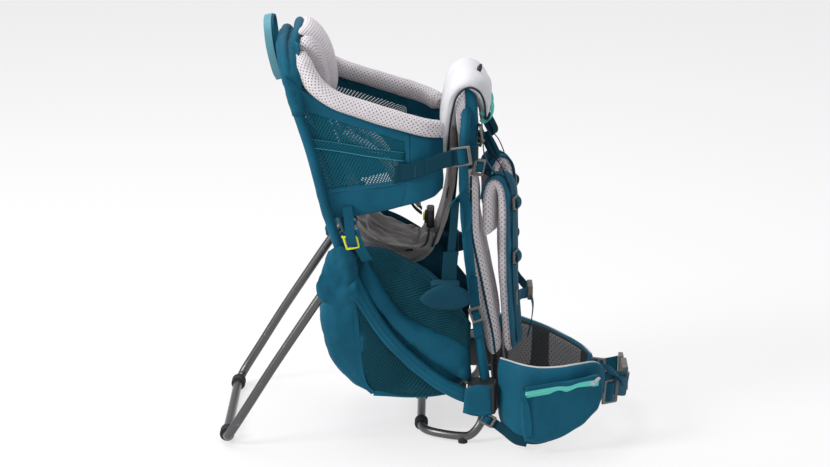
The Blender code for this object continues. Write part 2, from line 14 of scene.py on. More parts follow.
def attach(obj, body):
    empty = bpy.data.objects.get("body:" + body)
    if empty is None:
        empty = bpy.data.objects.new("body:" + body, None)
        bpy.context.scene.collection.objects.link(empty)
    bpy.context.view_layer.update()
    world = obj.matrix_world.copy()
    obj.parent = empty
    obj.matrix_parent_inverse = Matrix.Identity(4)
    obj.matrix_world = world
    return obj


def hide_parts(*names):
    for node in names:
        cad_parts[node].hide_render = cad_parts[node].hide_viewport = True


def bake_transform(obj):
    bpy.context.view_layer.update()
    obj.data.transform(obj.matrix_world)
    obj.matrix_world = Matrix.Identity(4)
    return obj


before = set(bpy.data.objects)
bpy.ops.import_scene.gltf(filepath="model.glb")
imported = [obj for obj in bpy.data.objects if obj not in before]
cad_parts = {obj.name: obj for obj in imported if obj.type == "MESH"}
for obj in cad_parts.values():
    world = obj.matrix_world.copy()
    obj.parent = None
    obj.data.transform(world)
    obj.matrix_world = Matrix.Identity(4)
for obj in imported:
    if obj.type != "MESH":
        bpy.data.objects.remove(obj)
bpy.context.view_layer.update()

ORIGIN_X = 0.0205  # the frame's origin, in design coordinates
SIDES = (("right", -1.0), ("left", 1.0))
EDGES = (("right", 0.0), ("left", 1.0))  # the same two sides, as shares across a pad
WEBBING_THICKNESS = 0.0019
AIR_FRAMES = 16  # how long a pad takes air
STITCH_PITCH, STITCH_SIZE = 0.0042, 0.00055
UP = Vector((0, 0, 1))


# ------------------------------------------------------------------ camera, light and floor

CAMERA_ELEVATION, CAMERA_AZIMUTH, CAMERA_DISTANCE = math.radians(15.5), math.radians(0.6), 5.0
CAMERA_AIM = Vector((-ORIGIN_X, 0, 0.34))
SENSOR_WIDTH, FOCAL_LENGTH = 36, 121.45  # millimetres
WORLD_COLOUR, WORLD_STRENGTH = (0.93, 0.95, 1.0), 0.58
FLOOR_SIZE, FLOOR_COLOUR = 40, (0.24, 0.24, 0.243)
FLOOR_GLOW, FLOOR_GLOW_STRENGTH = (1.0, 0.985, 0.985), 0.66
SOFTBOXES = (  # name, place, aim, size and power
    ("key_light", (-2.9, -1.5, 2.2), (0, 0, 0.3), (1.3, 1.3), 112),
    ("top_light", (-0.4, 0.9, 3.0), (0, 0, 0.2), (2.4, 2.4), 58),
    ("front_light", (0.4, -3.6, 1.6), (0, 0, 0.3), (1.8, 1.8), 6),
)


def add_camera():
    back = Vector((
        math.sin(CAMERA_AZIMUTH) * math.cos(CAMERA_ELEVATION),
        -math.cos(CAMERA_AZIMUTH) * math.cos(CAMERA_ELEVATION),
        math.sin(CAMERA_ELEVATION),
    ))
    data = bpy.data.cameras.new("camera")
    data.lens = FOCAL_LENGTH
    data.sensor_width = SENSOR_WIDTH
    camera = bpy.data.objects.new("camera", data)
    camera.location = CAMERA_AIM + back * CAMERA_DISTANCE
    camera.rotation_euler = back.to_track_quat("Z", "Y").to_euler()
    bpy.context.scene.collection.objects.link(camera)
    bpy.context.scene.camera = camera


def add_softbox(name, place, aim, size, power):
    data = bpy.data.lights.new(name, "AREA")
    data.shape = "RECTANGLE"
    data.size, data.size_y = size
    data.energy = power
    light = bpy.data.objects.new(name, data)
    light.location = place
    light.rotation_euler = (Vector(place) - Vector(aim)).to_track_quat("Z", "Y").to_euler()
    bpy.context.scene.collection.objects.link(light)


def add_studio():
    """A pale floor that reaches far behind, a bright world and three soft lights."""
    world = bpy.data.worlds.new("studio")
    world.use_nodes = True
    world.node_tree.nodes["Background"].inputs["Color"].default_value = (*WORLD_COLOUR, 1)
    world.node_tree.nodes["Background"].inputs["Strength"].default_value = WORLD_STRENGTH
    bpy.context.scene.world = world
    bpy.context.scene.view_settings.view_transform = "Standard"
    for softbox in SOFTBOXES:
        add_softbox(*softbox)
    bpy.ops.mesh.primitive_plane_add(size=FLOOR_SIZE, location=(0, 0, 0))
    floor = bpy.context.object
    floor.name = "studio_floor"
    material = bpy.data.materials.new("floor_paper")
    material.use_nodes = True
    shader = material.node_tree.nodes["Principled BSDF"]
    shader.inputs["Base Color"].default_value = (*FLOOR_COLOUR, 1)
    shader.inputs["Roughness"].default_value = 0.8
    shader.inputs["Emission Color"].default_value = (*FLOOR_GLOW, 1)
    shader.inputs["Emission Strength"].default_value = FLOOR_GLOW_STRENGTH
    floor.data.materials.append(material)


add_camera()
add_studio()


# ------------------------------------------------------------------ lines and directions


def flip(point, side):
    """A point of the right-hand half, carried to the given side (-1 right, 1 left)."""
    return Vector((point[0], -point[1] * side, point[2]))


def on_side(points, side):
    return [flip(p, side) for p in points]


def mirrored(half):
    """The whole line from its right half, whose last point lies on the middle plane."""
    return [Vector(p) for p in half] + [flip(p, 1) for p in reversed(half[:-1])]


def smooth(points, spans=6):
    """Points on a Catmull-Rom curve through the given ones, with this many spans between each two."""
    ends = [Vector(p) for p in points]
    ends = [2 * ends[0] - ends[1], *ends, 2 * ends[-1] - ends[-2]]
    line = []
    for a, b, c, d in zip(ends, ends[1:], ends[2:], ends[3:]):
        for step in range(spans):
            t = step / spans
            line.append(0.5 * (2 * b + (c - a) * t + (2 * a - 5 * b + 4 * c - d) * t**2
                               + (3 * b - a - 3 * c + d) * t**3))
    return line + [ends[-2]]


def along(line, t):
    """The point at the share t of a line's points."""
    place = min(max(t, 0), 1) * (len(line) - 1)
    start = min(int(place), len(line) - 2)
    return line[start].lerp(line[start + 1], place - start)


def blend_values(values, t):
    """A number read from evenly spaced values at the share t."""
    place = min(max(t, 0), 1) * (len(values) - 1)
    start = min(int(place), len(values) - 2)
    return values[start] + (values[start + 1] - values[start]) * (place - start)


def lengths(points):
    """How far along the points each one lies."""
    so_far = [0.0]
    for a, b in zip(points, points[1:]):
        so_far.append(so_far[-1] + (b - a).length)
    return so_far


def directions(line, up):
    """The forward, side and up directions at each point; up is a direction, or gives one for each point."""
    found = []
    for i, point in enumerate(line):
        forward = (line[min(i + 1, len(line) - 1)] - line[max(i - 1, 0)]).normalized()
        side = forward.cross(up(point) if callable(up) else Vector(up)).normalized()
        found.append((forward, side, side.cross(forward)))
    return found


def closed_line(points, spans=6):
    """The same smooth curve through points that form a loop."""
    line = smooth([points[-1], *points, points[0], points[1]], spans)
    return line[spans : spans * (len(points) + 1)]


def read_rail(rail, x):
    """The point of a rail at x; its points go up in x."""
    for a, b in zip(rail, rail[1:]):
        if x <= b[0] or b is rail[-1]:
            return Vector(a).lerp(Vector(b), (x - a[0]) / (b[0] - a[0]))


def patch(low, high, left=None, right=None):
    """A flat patch between four edges, as a function of two shares; left and right may be straight."""
    low, high = ([Vector((*p, 0)) for p in edge] for edge in (low, high))
    low, high = smooth(low), smooth(high)
    left = smooth([Vector((*p, 0)) for p in left]) if left else [low[0], high[0]]
    right = smooth([Vector((*p, 0)) for p in right]) if right else [low[-1], high[-1]]

    def place(u, v):
        rails = along(low, u) * (1 - v) + along(high, u) * v + along(left, v) * (1 - u) + along(right, v) * u
        corners = (low[0] * (1 - u) * (1 - v) + low[-1] * u * (1 - v)
                   + high[0] * (1 - u) * v + high[-1] * u * v)
        return (rails - corners)[:2]

    return place


# ------------------------------------------------------------------ meshes


def skin(name, rows, closed=False, capped=False, welded=False):
    """A mesh through rows of points, with a UV map in metres; closed joins the ends of every row."""
    count = len(rows[0])
    middle = rows[len(rows) // 2]
    across = lengths(middle + [middle[0]] if closed else middle)
    down = [0.0]
    for a, b in zip(rows, rows[1:]):
        down.append(down[-1] + sum((p - q).length for p, q in zip(a, b)) / count)
    shape = bmesh.new()
    verts = [[shape.verts.new(p) for p in row] for row in rows]
    uv = shape.loops.layers.uv.new("UVMap")
    spans = count if closed else count - 1
    for i in range(len(rows) - 1):
        for j in range(spans):
            k = (j + 1) % count
            face = shape.faces.new((verts[i][j], verts[i + 1][j], verts[i + 1][k], verts[i][k]))
            corners = ((i, j), (i + 1, j), (i + 1, j + 1), (i, j + 1))
            for loop, (row, column) in zip(face.loops, corners):
                loop[uv].uv = (down[row], across[column])
    if capped:
        for row, turn in ((verts[0], 1), (verts[-1], -1)):
            face = shape.faces.new(row[::turn])
            for loop in face.loops:
                loop[uv].uv = (loop.vert.co.x, loop.vert.co.z)
    return settle(name, shape, welded)


def settle(name, shape, welded=False):
    """The bmesh as a linked object, smooth and with its faces pointing out if it is closed."""
    if welded:
        bmesh.ops.remove_doubles(shape, verts=shape.verts, dist=1e-6)
    bmesh.ops.recalc_face_normals(shape, faces=shape.faces)
    mesh = bpy.data.meshes.new(name)
    shape.to_mesh(mesh)
    shape.free()
    mesh.shade_smooth()
    piece = bpy.data.objects.new(name, mesh)
    bpy.context.scene.collection.objects.link(piece)
    return piece


def apply_modifiers(piece):
    bpy.context.view_layer.objects.active = piece
    for modifier in list(piece.modifiers):
        bpy.ops.object.modifier_apply(modifier=modifier.name)


def thicken(piece, thickness):
    solid = piece.modifiers.new("cloth", "SOLIDIFY")
    solid.thickness = thickness
    solid.offset = 0
    apply_modifiers(piece)


def soften(piece):
    subsurf = piece.modifiers.new("soften", "SUBSURF")
    subsurf.levels = subsurf.render_levels = 1
    apply_modifiers(piece)


def even(count):
    return [i / count for i in range(count + 1)]


def eased(count):
    """Shares from 0 to 1 that crowd towards both ends."""
    return [0.5 - 0.5 * math.cos(math.pi * i / count) for i in range(count + 1)]


def crown(share, sharpness):
    """A height from 0 at both ends to 1 in the middle; a high sharpness gives a flat top."""
    return math.sqrt(max(0.0, 1 - abs(2 * share - 1) ** sharpness))


def normal_at(place, u, v):
    """The normal of a surface given as a function of two shares."""
    step = 0.004
    du = place(min(u + step, 1), v) - place(max(u - step, 0), v)
    dv = place(u, min(v + step, 1)) - place(u, max(v - step, 0))
    return du.cross(dv).normalized()


def cushion(name, place, thickness, counts=(30, 14), sharpness=(8, 5), relief=None, offset=0.0):
    """A closed pad round a surface: full in the middle, and rounded to a seam along every edge.

    relief(u, v) scales the thickness, for sewn channels; offset moves the pad along the surface's normal.
    """
    shape = bmesh.new()
    uv = shape.loops.layers.uv.new("UVMap")
    us, vs = eased(counts[0]), eased(counts[1])
    lift = thickness / 2
    length = lengths([place(u, 0.5) + normal_at(place, u, 0.5) * lift * crown(u, sharpness[0]) for u in us])
    width = lengths([place(0.5, v) + normal_at(place, 0.5, v) * lift * crown(v, sharpness[1]) for v in vs])
    grids = []
    for face_side in (1, -1):
        grid = []
        for u in us:
            row = []
            for v in vs:
                depth = lift * crown(u, sharpness[0]) * crown(v, sharpness[1])
                if relief:
                    depth *= relief(u, v)
                point = place(u, v) + normal_at(place, u, v) * (offset + face_side * depth)
                row.append(shape.verts.new(point))
            grid.append(row)
        grids.append(grid)
    for grid, turn in zip(grids, (1, -1)):
        for i in range(counts[0]):
            for j in range(counts[1]):
                corners = [(i, j), (i + 1, j), (i + 1, j + 1), (i, j + 1)][::turn]
                face = shape.faces.new([grid[a][b] for a, b in corners])
                for loop, (a, b) in zip(face.loops, corners):
                    loop[uv].uv = (length[a], width[b])
    return settle(name, shape, welded=True)


def sheet(name, place, counts=(20, 8)):
    """An open sheet over a surface given as a function of two shares."""
    return skin(name, [[place(u, v) for v in even(counts[1])] for u in even(counts[0])])


def circle(radius, sides=20):
    return [(radius * math.cos(a),
             radius * math.sin(a)) for a in (2 * math.pi * i / sides for i in range(sides))]


def oval(half_width, half_height, sides=24, power=2.4):
    """A rounded outline; a power above 2 squares it off."""
    loop = []
    for i in range(sides):
        a = 2 * math.pi * i / sides
        c, s = math.cos(a), math.sin(a)
        loop.append((
            half_width * math.copysign(abs(c) ** (2 / power), c),
            half_height * math.copysign(abs(s) ** (2 / power), s),
        ))
    return loop


def sweep(name, line, section, up=UP):
    """A closed form along a line; section is an outline, or gives one for each share of the line."""
    rows = []
    for i, (_, side, over) in enumerate(directions(line, up)):
        outline = section(i / (len(line) - 1)) if callable(section) else section
        rows.append([line[i] + side * a + over * b for a, b in outline])
    return skin(name, rows, closed=True, capped=True)


def rod(name, line, radius, up=UP, sides=20):
    return sweep(name, line, circle(radius, sides), up)


def hoop(name, points, radius, sides=12):
    """A round bar bent into a closed loop."""
    line = closed_line([Vector(p) for p in points], 5)
    middle = sum(line, Vector()) / len(line)
    axis = (line[0] - middle).cross(line[len(line) // 4] - middle).normalized()
    rows = []
    for i in range(len(line) + 1):
        here = line[i % len(line)]
        forward = (line[(i + 1) % len(line)] - line[(i - 1) % len(line)]).normalized()
        out = forward.cross(axis).normalized()
        rows.append([here + out * a + axis * b for a, b in circle(radius, sides)])
    return skin(name, rows, closed=True, welded=True)


def push_out(piece, amount_at):
    """Moves every point along its normal by what amount_at gives for its place."""
    moves = [vert.normal * amount_at(vert.co) for vert in piece.data.vertices]
    for vert, move in zip(piece.data.vertices, moves):
        vert.co += move
    piece.data.update()


def ruffle(piece, height, waves, seed):
    """Wrinkles: smooth noise with this many waves a metre on each axis."""
    drift = Vector((seed * 3.1, seed * 1.7, seed * 2.3))

    def wrinkle(place):
        at = Vector(a * b for a, b in zip(place, waves)) + drift
        return height * (noise.noise(at) + 0.45 * noise.noise(at * 2.3))

    push_out(piece, wrinkle)


def press_folds(piece, folds):
    """Creases: each fold is (points, depth, reach); the surface dips along the line through the points."""
    lines = [(smooth(points), depth, reach) for points, depth, reach in folds]

    def crease(place):
        amount = 0.0
        for line, depth, reach in lines:
            near = min((place - p).length for p in line) / reach
            if near < 2.5:
                amount -= depth * math.exp(-near * near) * (1 - 0.35 * near * near)
        return amount

    push_out(piece, crease)


def breathe(piece, pressure, reach):
    """Fills a closed form with air as cloth, and keeps each point within reach of where it was."""
    before = np.array([v.co for v in piece.data.vertices])
    cloth = piece.modifiers.new("air", "CLOTH")
    cloth.settings.use_pressure = True
    cloth.settings.uniform_pressure_force = pressure
    cloth.settings.effector_weights.gravity = 0
    cloth.point_cache.frame_start = 1
    cloth.point_cache.frame_end = AIR_FRAMES
    for step in range(1, AIR_FRAMES + 1):
        bpy.context.scene.frame_set(step)
    graph = bpy.context.evaluated_depsgraph_get()
    after = np.array([v.co for v in piece.evaluated_get(graph).data.vertices])
    piece.modifiers.remove(cloth)
    bpy.context.scene.frame_set(1)
    move = after - before
    far = np.linalg.norm(move, axis=1)
    move *= np.minimum(1, reach / np.maximum(far, 1e-9))[:, None]
    piece.data.vertices.foreach_set("co", (before + move).ravel())
    piece.data.update()


# ------------------------------------------------------------------ finishes


def add_node(tree, kind, settings=None, **sockets):
    """A shader node; a socket's value is a number, a colour or another node's output."""
    node = tree.nodes.new("ShaderNode" + kind)
    for key, value in (settings or {}).items():
        setattr(node, key, value)
    for key, value in sockets.items():
        socket = node.inputs[int(key[1:]) if key[1:].isdigit() else key]
        if isinstance(value, bpy.types.NodeSocket):
            tree.links.new(value, socket)
        else:
            socket.default_value = value
    return node


def calculate(tree, operation, first, second=0.0):
    return add_node(tree, "Math", {"operation": operation}, _0=first, _1=second).outputs[0]


def coordinates(tree):
    return tree.nodes.get("Texture Coordinate", None) or add_node(tree, "TexCoord")


def rib_waves(tree, pitch, axis=0):
    """Ribs from -1 to 1, one pitch apart along an axis of the UV map."""
    split = add_node(tree, "SeparateXYZ", _0=coordinates(tree).outputs["UV"])
    return calculate(tree, "COSINE", calculate(tree, "MULTIPLY", split.outputs[axis], 2 * math.pi / pitch))


def lattice(tree, pitch_along, pitch_across):
    """A staggered lattice over the cloth, from -1 to 1, with its high points one pitch apart."""
    return calculate(tree, "MULTIPLY", rib_waves(tree, pitch_along), rib_waves(tree, pitch_across, 1))


def speckle(tree, scale, detail=3.0, roughness=0.6):
    vector = coordinates(tree).outputs["Object"]
    return add_node(tree, "TexNoise", Vector=vector, Scale=scale, Detail=detail,
                    Roughness=roughness).outputs[0]


def ramp(tree, value, low, high):
    """A value stretched so that low gives 0 and high gives 1."""
    return add_node(tree, "MapRange", _0=value, _1=low, _2=high).outputs[0]


def mix_colours(tree, factor, first, second):
    mix = add_node(tree, "Mix", {"data_type": "RGBA"})
    for index, value in ((0, factor), (6, first), (7, second)):
        if isinstance(value, bpy.types.NodeSocket):
            tree.links.new(value, mix.inputs[index])
        elif index == 0:
            mix.inputs[index].default_value = value
        else:
            mix.inputs[index].default_value = (*value, 1)
    return mix.outputs[2]


def tone(colour, share):
    return tuple(min(1.0, c * share) for c in colour)


def new_finish(name, roughness, metallic=0.0, sheen=0.0, specular=0.5):
    material = bpy.data.materials.new(name)
    material.use_nodes = True
    tree = material.node_tree
    shader = tree.nodes["Principled BSDF"]
    shader.inputs["Roughness"].default_value = roughness
    shader.inputs["Metallic"].default_value = metallic
    shader.inputs["Sheen Weight"].default_value = sheen
    shader.inputs["Sheen Roughness"].default_value = 0.45
    shader.inputs["Specular IOR Level"].default_value = specular
    return material, tree, shader


def emboss(tree, shader, heights):
    """Bumps from (height, strength, distance), the first on top."""
    normal = None
    for height, strength, distance in reversed(heights):
        bump = add_node(tree, "Bump", Height=height, Strength=strength, Distance=distance)
        if normal:
            tree.links.new(normal, bump.inputs["Normal"])
        normal = bump.outputs[0]
    tree.links.new(normal, shader.inputs["Normal"])


def worn(tree, colour, spread=0.16, scale=14):
    """A colour that drifts a little over the cloth, lighter where it has rubbed."""
    broad = ramp(tree, speckle(tree, scale, 4), 0.3, 0.7)
    fine = ramp(tree, speckle(tree, scale * 28, 2), 0.25, 0.75)
    base = mix_colours(tree, broad, tone(colour, 1 - spread), tone(colour, 1 + spread))
    return mix_colours(tree, calculate(tree, "MULTIPLY", fine, 0.35), base, tone(colour, 0.8))


def pack_cloth(name, colour, roughness=0.66, pitch=0.0011):
    """Tightly woven nylon."""
    material, tree, shader = new_finish(name, roughness, sheen=0.02, specular=0.14)
    tree.links.new(worn(tree, colour), shader.inputs["Base Color"])
    emboss(tree, shader, [(lattice(tree, pitch, pitch), 0.22, 0.0003), (speckle(tree, 220), 0.16, 0.0012)])
    return material


def ribbed_webbing(name, colour):
    """Woven strap: ribs across its length and a fine grain."""
    material, tree, shader = new_finish(name, 0.70, sheen=0.02, specular=0.12)
    ribs = rib_waves(tree, 0.0019)
    # painted shade: rib crests lighter and troughs darker, in step with the rib bumps
    shade = mix_colours(tree, ramp(tree, ribs, -1, 1), tone(colour, 0.82), tone(colour, 1.1))
    drift = ramp(tree, speckle(tree, 30, 3), 0.3, 0.7)
    tree.links.new(mix_colours(tree, calculate(tree, "MULTIPLY", drift, 0.4), shade, tone(colour, 0.75)),
                   shader.inputs["Base Color"])
    emboss(tree, shader, [(ribs, 0.35, 0.0004), (lattice(tree, 0.0012, 0.0024), 0.2, 0.0003)])
    return material


def spacer_mesh(name, colour, hole_painted_shade, pitch=(0.0087, 0.0094), size=0.54):
    """Thick knitted mesh with a staggered pattern of small holes, sunk in the bump and coloured dark as
    painted shade.
    """
    material, tree, shader = new_finish(name, 0.88, sheen=0.06, specular=0.15)
    holes = ramp(tree, lattice(tree, *pitch), size, size + 0.3)
    knit = ramp(tree, lattice(tree, 0.0014, 0.0014), -1, 1)
    base = mix_colours(tree, calculate(tree, "MULTIPLY", knit, 0.25), worn(tree, colour, 0.06, 22),
                       tone(colour, 0.8))
    # painted shade: the holes are coloured dark where shade falls into them
    tree.links.new(mix_colours(tree, holes, base, hole_painted_shade), shader.inputs["Base Color"])
    sunk = calculate(tree, "SUBTRACT", calculate(tree, "MULTIPLY", knit, 0.15), holes)
    emboss(tree, shader, [(sunk, 0.8, 0.0016)])
    return material


def window_net(name, colour, pitch=0.0058, opening=0.42, behind=0.0):
    """Open net that shows what is behind it through staggered holes."""
    material, tree, shader = new_finish(name, 0.75, specular=0.15)
    net = lattice(tree, pitch, pitch)
    thread = mix_colours(tree, ramp(tree, net, -1, 0.1), tone(colour, 1.15), tone(colour, 0.7))
    tree.links.new(thread, shader.inputs["Base Color"])
    gap = ramp(tree, net, opening, opening + 0.3)
    tree.links.new(calculate(tree, "SUBTRACT", 1.0, calculate(tree, "MULTIPLY", gap, 1.0 - behind)),
                   shader.inputs["Alpha"])
    emboss(tree, shader, [(net, 0.3, 0.0006)])
    return material


def ribbed_knit(name, colour):
    """Soft jersey with fine raised ribs."""
    material, tree, shader = new_finish(name, 0.9, sheen=0.08, specular=0.15)
    ribs = rib_waves(tree, 0.0052)
    dots = ramp(tree, lattice(tree, 0.0052, 0.0052), 0.2, 0.9)
    base = mix_colours(tree, dots, tone(colour, 1.02), tone(colour, 0.70))
    tree.links.new(base, shader.inputs["Base Color"])
    emboss(tree, shader, [(ribs, 0.5, 0.0009), (speckle(tree, 900, 2), 0.2, 0.0004)])
    return material


def brushed_fleece(name, colour):
    material, tree, shader = new_finish(name, 0.95, sheen=0.15, specular=0.1)
    tree.links.new(worn(tree, colour, 0.07, 18), shader.inputs["Base Color"])
    emboss(tree, shader, [(speckle(tree, 700, 4, 0.8), 0.5, 0.0012), (speckle(tree, 70, 3), 0.25, 0.002)])
    return material


def satin_lining(name, colour):
    material, tree, shader = new_finish(name, 0.42, sheen=0.25, specular=0.5)
    tree.links.new(worn(tree, colour, 0.14, 16), shader.inputs["Base Color"])
    emboss(tree, shader, [(lattice(tree, 0.0009, 0.0009), 0.1, 0.0002), (speckle(tree, 46, 4), 0.22, 0.003)])
    return material


def moulded_plastic(name, colour, roughness=0.48):
    material, tree, shader = new_finish(name, roughness, specular=0.45)
    tree.links.new(worn(tree, colour, 0.08, 40), shader.inputs["Base Color"])
    emboss(tree, shader, [(speckle(tree, 1500, 2), 0.12, 0.0002)])
    return material


def anodised_tube(name, colour):
    """Dark anodised aluminium with faint drawing lines and small scuffs."""
    material, tree, shader = new_finish(name, 0.34, metallic=0.85)
    streak = add_node(tree, "Mapping", Vector=coordinates(tree).outputs["UV"], Scale=(6, 900, 1))
    lines = add_node(tree, "TexNoise", Vector=streak.outputs[0], Scale=1.0, Detail=2.0).outputs[0]
    scuffs = ramp(tree, speckle(tree, 90, 5, 0.75), 0.62, 0.72)
    base = mix_colours(tree, ramp(tree, lines, 0.3, 0.7), tone(colour, 0.8), tone(colour, 1.25))
    tree.links.new(mix_colours(tree, calculate(tree, "MULTIPLY", scuffs, 0.35), base, (0.36, 0.36, 0.35)),
                   shader.inputs["Base Color"])
    tree.links.new(ramp(tree, scuffs, -2.2, 4.5), shader.inputs["Roughness"])
    emboss(tree, shader, [(lines, 0.05, 0.0002)])
    return material


def soft_rubber(name, colour):
    material, tree, shader = new_finish(name, 0.72, specular=0.35)
    tree.links.new(worn(tree, colour, 0.2, 60), shader.inputs["Base Color"])
    emboss(tree, shader, [(speckle(tree, 600, 4), 0.25, 0.0005)])
    return material


TEAL = (0.0034, 0.085, 0.142)
# the teal cloth at half brightness: a shaded copy of it, painted shade for cloth that lies in shade
TEAL_PAINTED_SHADE = (0.0018, 0.042, 0.070)
NET_TEAL = (0.002, 0.085, 0.128)
MESH_GREY = (0.66, 0.617, 0.634)
# the colour inside the spacer mesh's holes: painted shade
MESH_HOLE_PAINTED_SHADE = (0.13, 0.115, 0.128)
MINT = (0.13, 0.60, 0.52)

FINISH_TABLE = (  # name, slot, the function that makes it, and what that is told
    ("teal_cloth", "teal_fabric", pack_cloth, TEAL),
    ("teal_shade", "dark_fabric", pack_cloth, TEAL_PAINTED_SHADE),
    ("teal_webbing", "teal_fabric", ribbed_webbing, tone(TEAL, 0.85)),
    ("mint_webbing", "mint_fabric", ribbed_webbing, MINT),
    ("black_webbing", "dark_fabric", ribbed_webbing, (0.012, 0.013, 0.015)),
    ("grey_spacer", "grey_mesh", spacer_mesh, MESH_GREY, MESH_HOLE_PAINTED_SHADE),
    ("fine_spacer", "grey_mesh", spacer_mesh, MESH_GREY, MESH_HOLE_PAINTED_SHADE, (0.0076, 0.0082), 0.50),
    ("black_spacer", "dark_fabric", spacer_mesh, (0.03, 0.031, 0.034), (0.006, 0.006, 0.006)),
    ("window_net", "dark_fabric", window_net, NET_TEAL),
    ("pocket_net", "dark_fabric", window_net, (0.002, 0.056, 0.082), 0.0056, 0.3, 0.1),
    ("dark_spacer", "grey_mesh", spacer_mesh, (0.15, 0.148, 0.150), (0.02, 0.02, 0.02)),
    ("loop_webbing", "mint_fabric", ribbed_webbing, (0.12, 0.30, 0.36)),
    ("dark_webbing", "teal_fabric", ribbed_webbing, (0.0016, 0.036, 0.058)),
    ("pale_piping", "grey_mesh", pack_cloth, (0.50, 0.50, 0.49), 0.6),
    ("rib_knit", "grey_mesh", ribbed_knit, (0.60, 0.56, 0.58)),
    ("fleece", "light_fleece", brushed_fleece, (0.62, 0.615, 0.63)),
    ("taupe_satin", "taupe_fabric", satin_lining, (0.20, 0.178, 0.162)),
    ("piping", "dark_fabric", pack_cloth, (0.018, 0.03, 0.038), 0.7),
    ("teal_piping", "teal_fabric", pack_cloth, tone(TEAL, 0.55), 0.6),
    ("thread", "teal_fabric", pack_cloth, (0.03, 0.20, 0.27), 0.5, 0.0006),
    ("buckle", "buckle_plastic", moulded_plastic, (0.155, 0.145, 0.13)),
    ("black_plastic", "hub_plastic", moulded_plastic, (0.02, 0.021, 0.023), 0.4),
    ("yellow_plastic", "yellow_plastic", moulded_plastic, (0.72, 0.70, 0.02), 0.4),
    ("tube", "anodised_tube", anodised_tube, (0.105, 0.105, 0.105)),
    ("steel", "zip_metal", anodised_tube, (0.45, 0.45, 0.46)),
    ("rubber", "rubber", soft_rubber, (0.022, 0.023, 0.025)),
)
FINISHES = {name: (make(name, *how), slot_name) for name, slot_name, make, *how in FINISH_TABLE}


def dress(piece, finish, body="frame", replaces=(), ride=True):
    """Gives a piece its finish, carries it to the frame's origin and hangs it on a body."""
    material, slot_name = FINISHES[finish]
    piece.data.materials.clear()
    piece.data.materials.append(material)
    piece.data.transform(Matrix.Translation((-ORIGIN_X, 0, 0)))
    if ride:
        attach(piece, body)
    if replaces:
        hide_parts(*replaces)
    return piece


def dress_across(piece, finish, replaces=()):
    """The same, but hung on no body, for a piece that crosses the joint between two bodies."""
    dress(piece, finish, ride=False, replaces=replaces)
    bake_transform(piece)
    return piece


def panel(name, place, finish, counts, wrinkles, thickness=0.0014, rests_on="main_frame_tube", replaces=()):
    """A piece of cloth stretched over a surface."""
    piece = sheet(name, place, counts)
    ruffle(piece, *wrinkles)
    thicken(piece, thickness)
    dress(piece, finish, "frame", replaces)


def pad(name, place, thickness, finish, body="frame", fill=0.6, replaces=(), wrinkles=None, air=None, **how):
    """A stuffed piece."""
    piece = cushion(name, place, thickness, **how)
    if air:
        breathe(piece, *air)
    if wrinkles:
        ruffle(piece, *wrinkles)
    dress(piece, finish, body, replaces)
    return piece


def ribbon(line, across, width):
    """The surface of a strap along a line; across is its width's direction."""
    way = Vector(across).normalized()
    return lambda u, v: along(line, u) + way * width * (v - 0.5)


def strap(name, points, across, width, finish="teal_webbing", body="frame", thickness=WEBBING_THICKNESS,
          replaces=(), bodies=None, spans=6):
    """Webbing along a smooth line, with slightly rounded edges."""
    line = smooth(points, spans)
    place = ribbon(line, across, width)
    piece = skin(name, [[place(u, v) for v in (0, 0.06, 0.5, 0.94, 1)] for u in even(len(line) - 1)])
    thicken(piece, thickness)
    if bodies:
        return dress_across(piece, finish, replaces)
    return dress(piece, finish, body, replaces)


def piping(name, line, radius=0.0019, finish="piping", body="frame"):
    return dress(rod(name, line, radius, UP, 8), finish, body)


def stitches(name, line):
    """A row of thread stitches that lie on a seam."""
    shape = bmesh.new()
    marks = lengths(line)
    for i in range(int(marks[-1] / STITCH_PITCH)):
        target = (i + 0.5) * STITCH_PITCH
        k = max(j for j, m in enumerate(marks) if m <= target)
        k = min(k, len(line) - 2)
        way = (line[k + 1] - line[k]).normalized()
        at = line[k] + way * (target - marks[k])
        turn = way.to_track_quat("X", "Z").to_matrix().to_4x4()
        stretch = Matrix.Diagonal((STITCH_PITCH * 0.62, STITCH_SIZE * 2, STITCH_SIZE * 2, 1))
        bmesh.ops.create_icosphere(shape, subdivisions=1, radius=0.5,
                                   matrix=Matrix.Translation(at) @ turn @ stretch)
    shape.loops.layers.uv.new("UVMap")
    return dress(settle(name, shape), "thread")


# ------------------------------------------------------------------ moulded and turned parts


def start_piece(name):
    piece = bpy.context.object
    piece.name = name
    bpy.ops.object.mode_set(mode="EDIT")
    return piece


def add_block(name, size, edge=0.0015, segments=3):
    """A moulded block with rounded edges, round the origin."""
    bpy.ops.object.select_all(action="DESELECT")
    bpy.ops.mesh.primitive_cube_add(size=1)
    piece = start_piece(name)
    bpy.ops.transform.resize(value=size)
    bpy.ops.mesh.bevel(offset=edge, segments=segments, affect="EDGES")
    bpy.ops.object.mode_set(mode="OBJECT")
    return piece


def add_recess(piece, direction, inset, depth):
    """Sinks a panel into the largest face that looks the given way."""
    bpy.ops.object.select_all(action="DESELECT")
    bpy.context.view_layer.objects.active = piece
    piece.select_set(True)
    facing = [f for f in piece.data.polygons if f.normal.dot(Vector(direction)) > 0.99]
    chosen = max(facing, key=lambda f: f.area).index
    bpy.ops.object.mode_set(mode="EDIT")
    bpy.ops.mesh.select_mode(type="FACE")
    bpy.ops.mesh.select_all(action="DESELECT")
    bpy.ops.object.mode_set(mode="OBJECT")
    piece.data.polygons[chosen].select = True
    bpy.ops.object.mode_set(mode="EDIT")
    bpy.ops.mesh.inset(thickness=inset, depth=0)
    bpy.ops.mesh.inset(thickness=min(inset, abs(depth)) * 0.5, depth=-depth)
    bpy.ops.object.mode_set(mode="OBJECT")


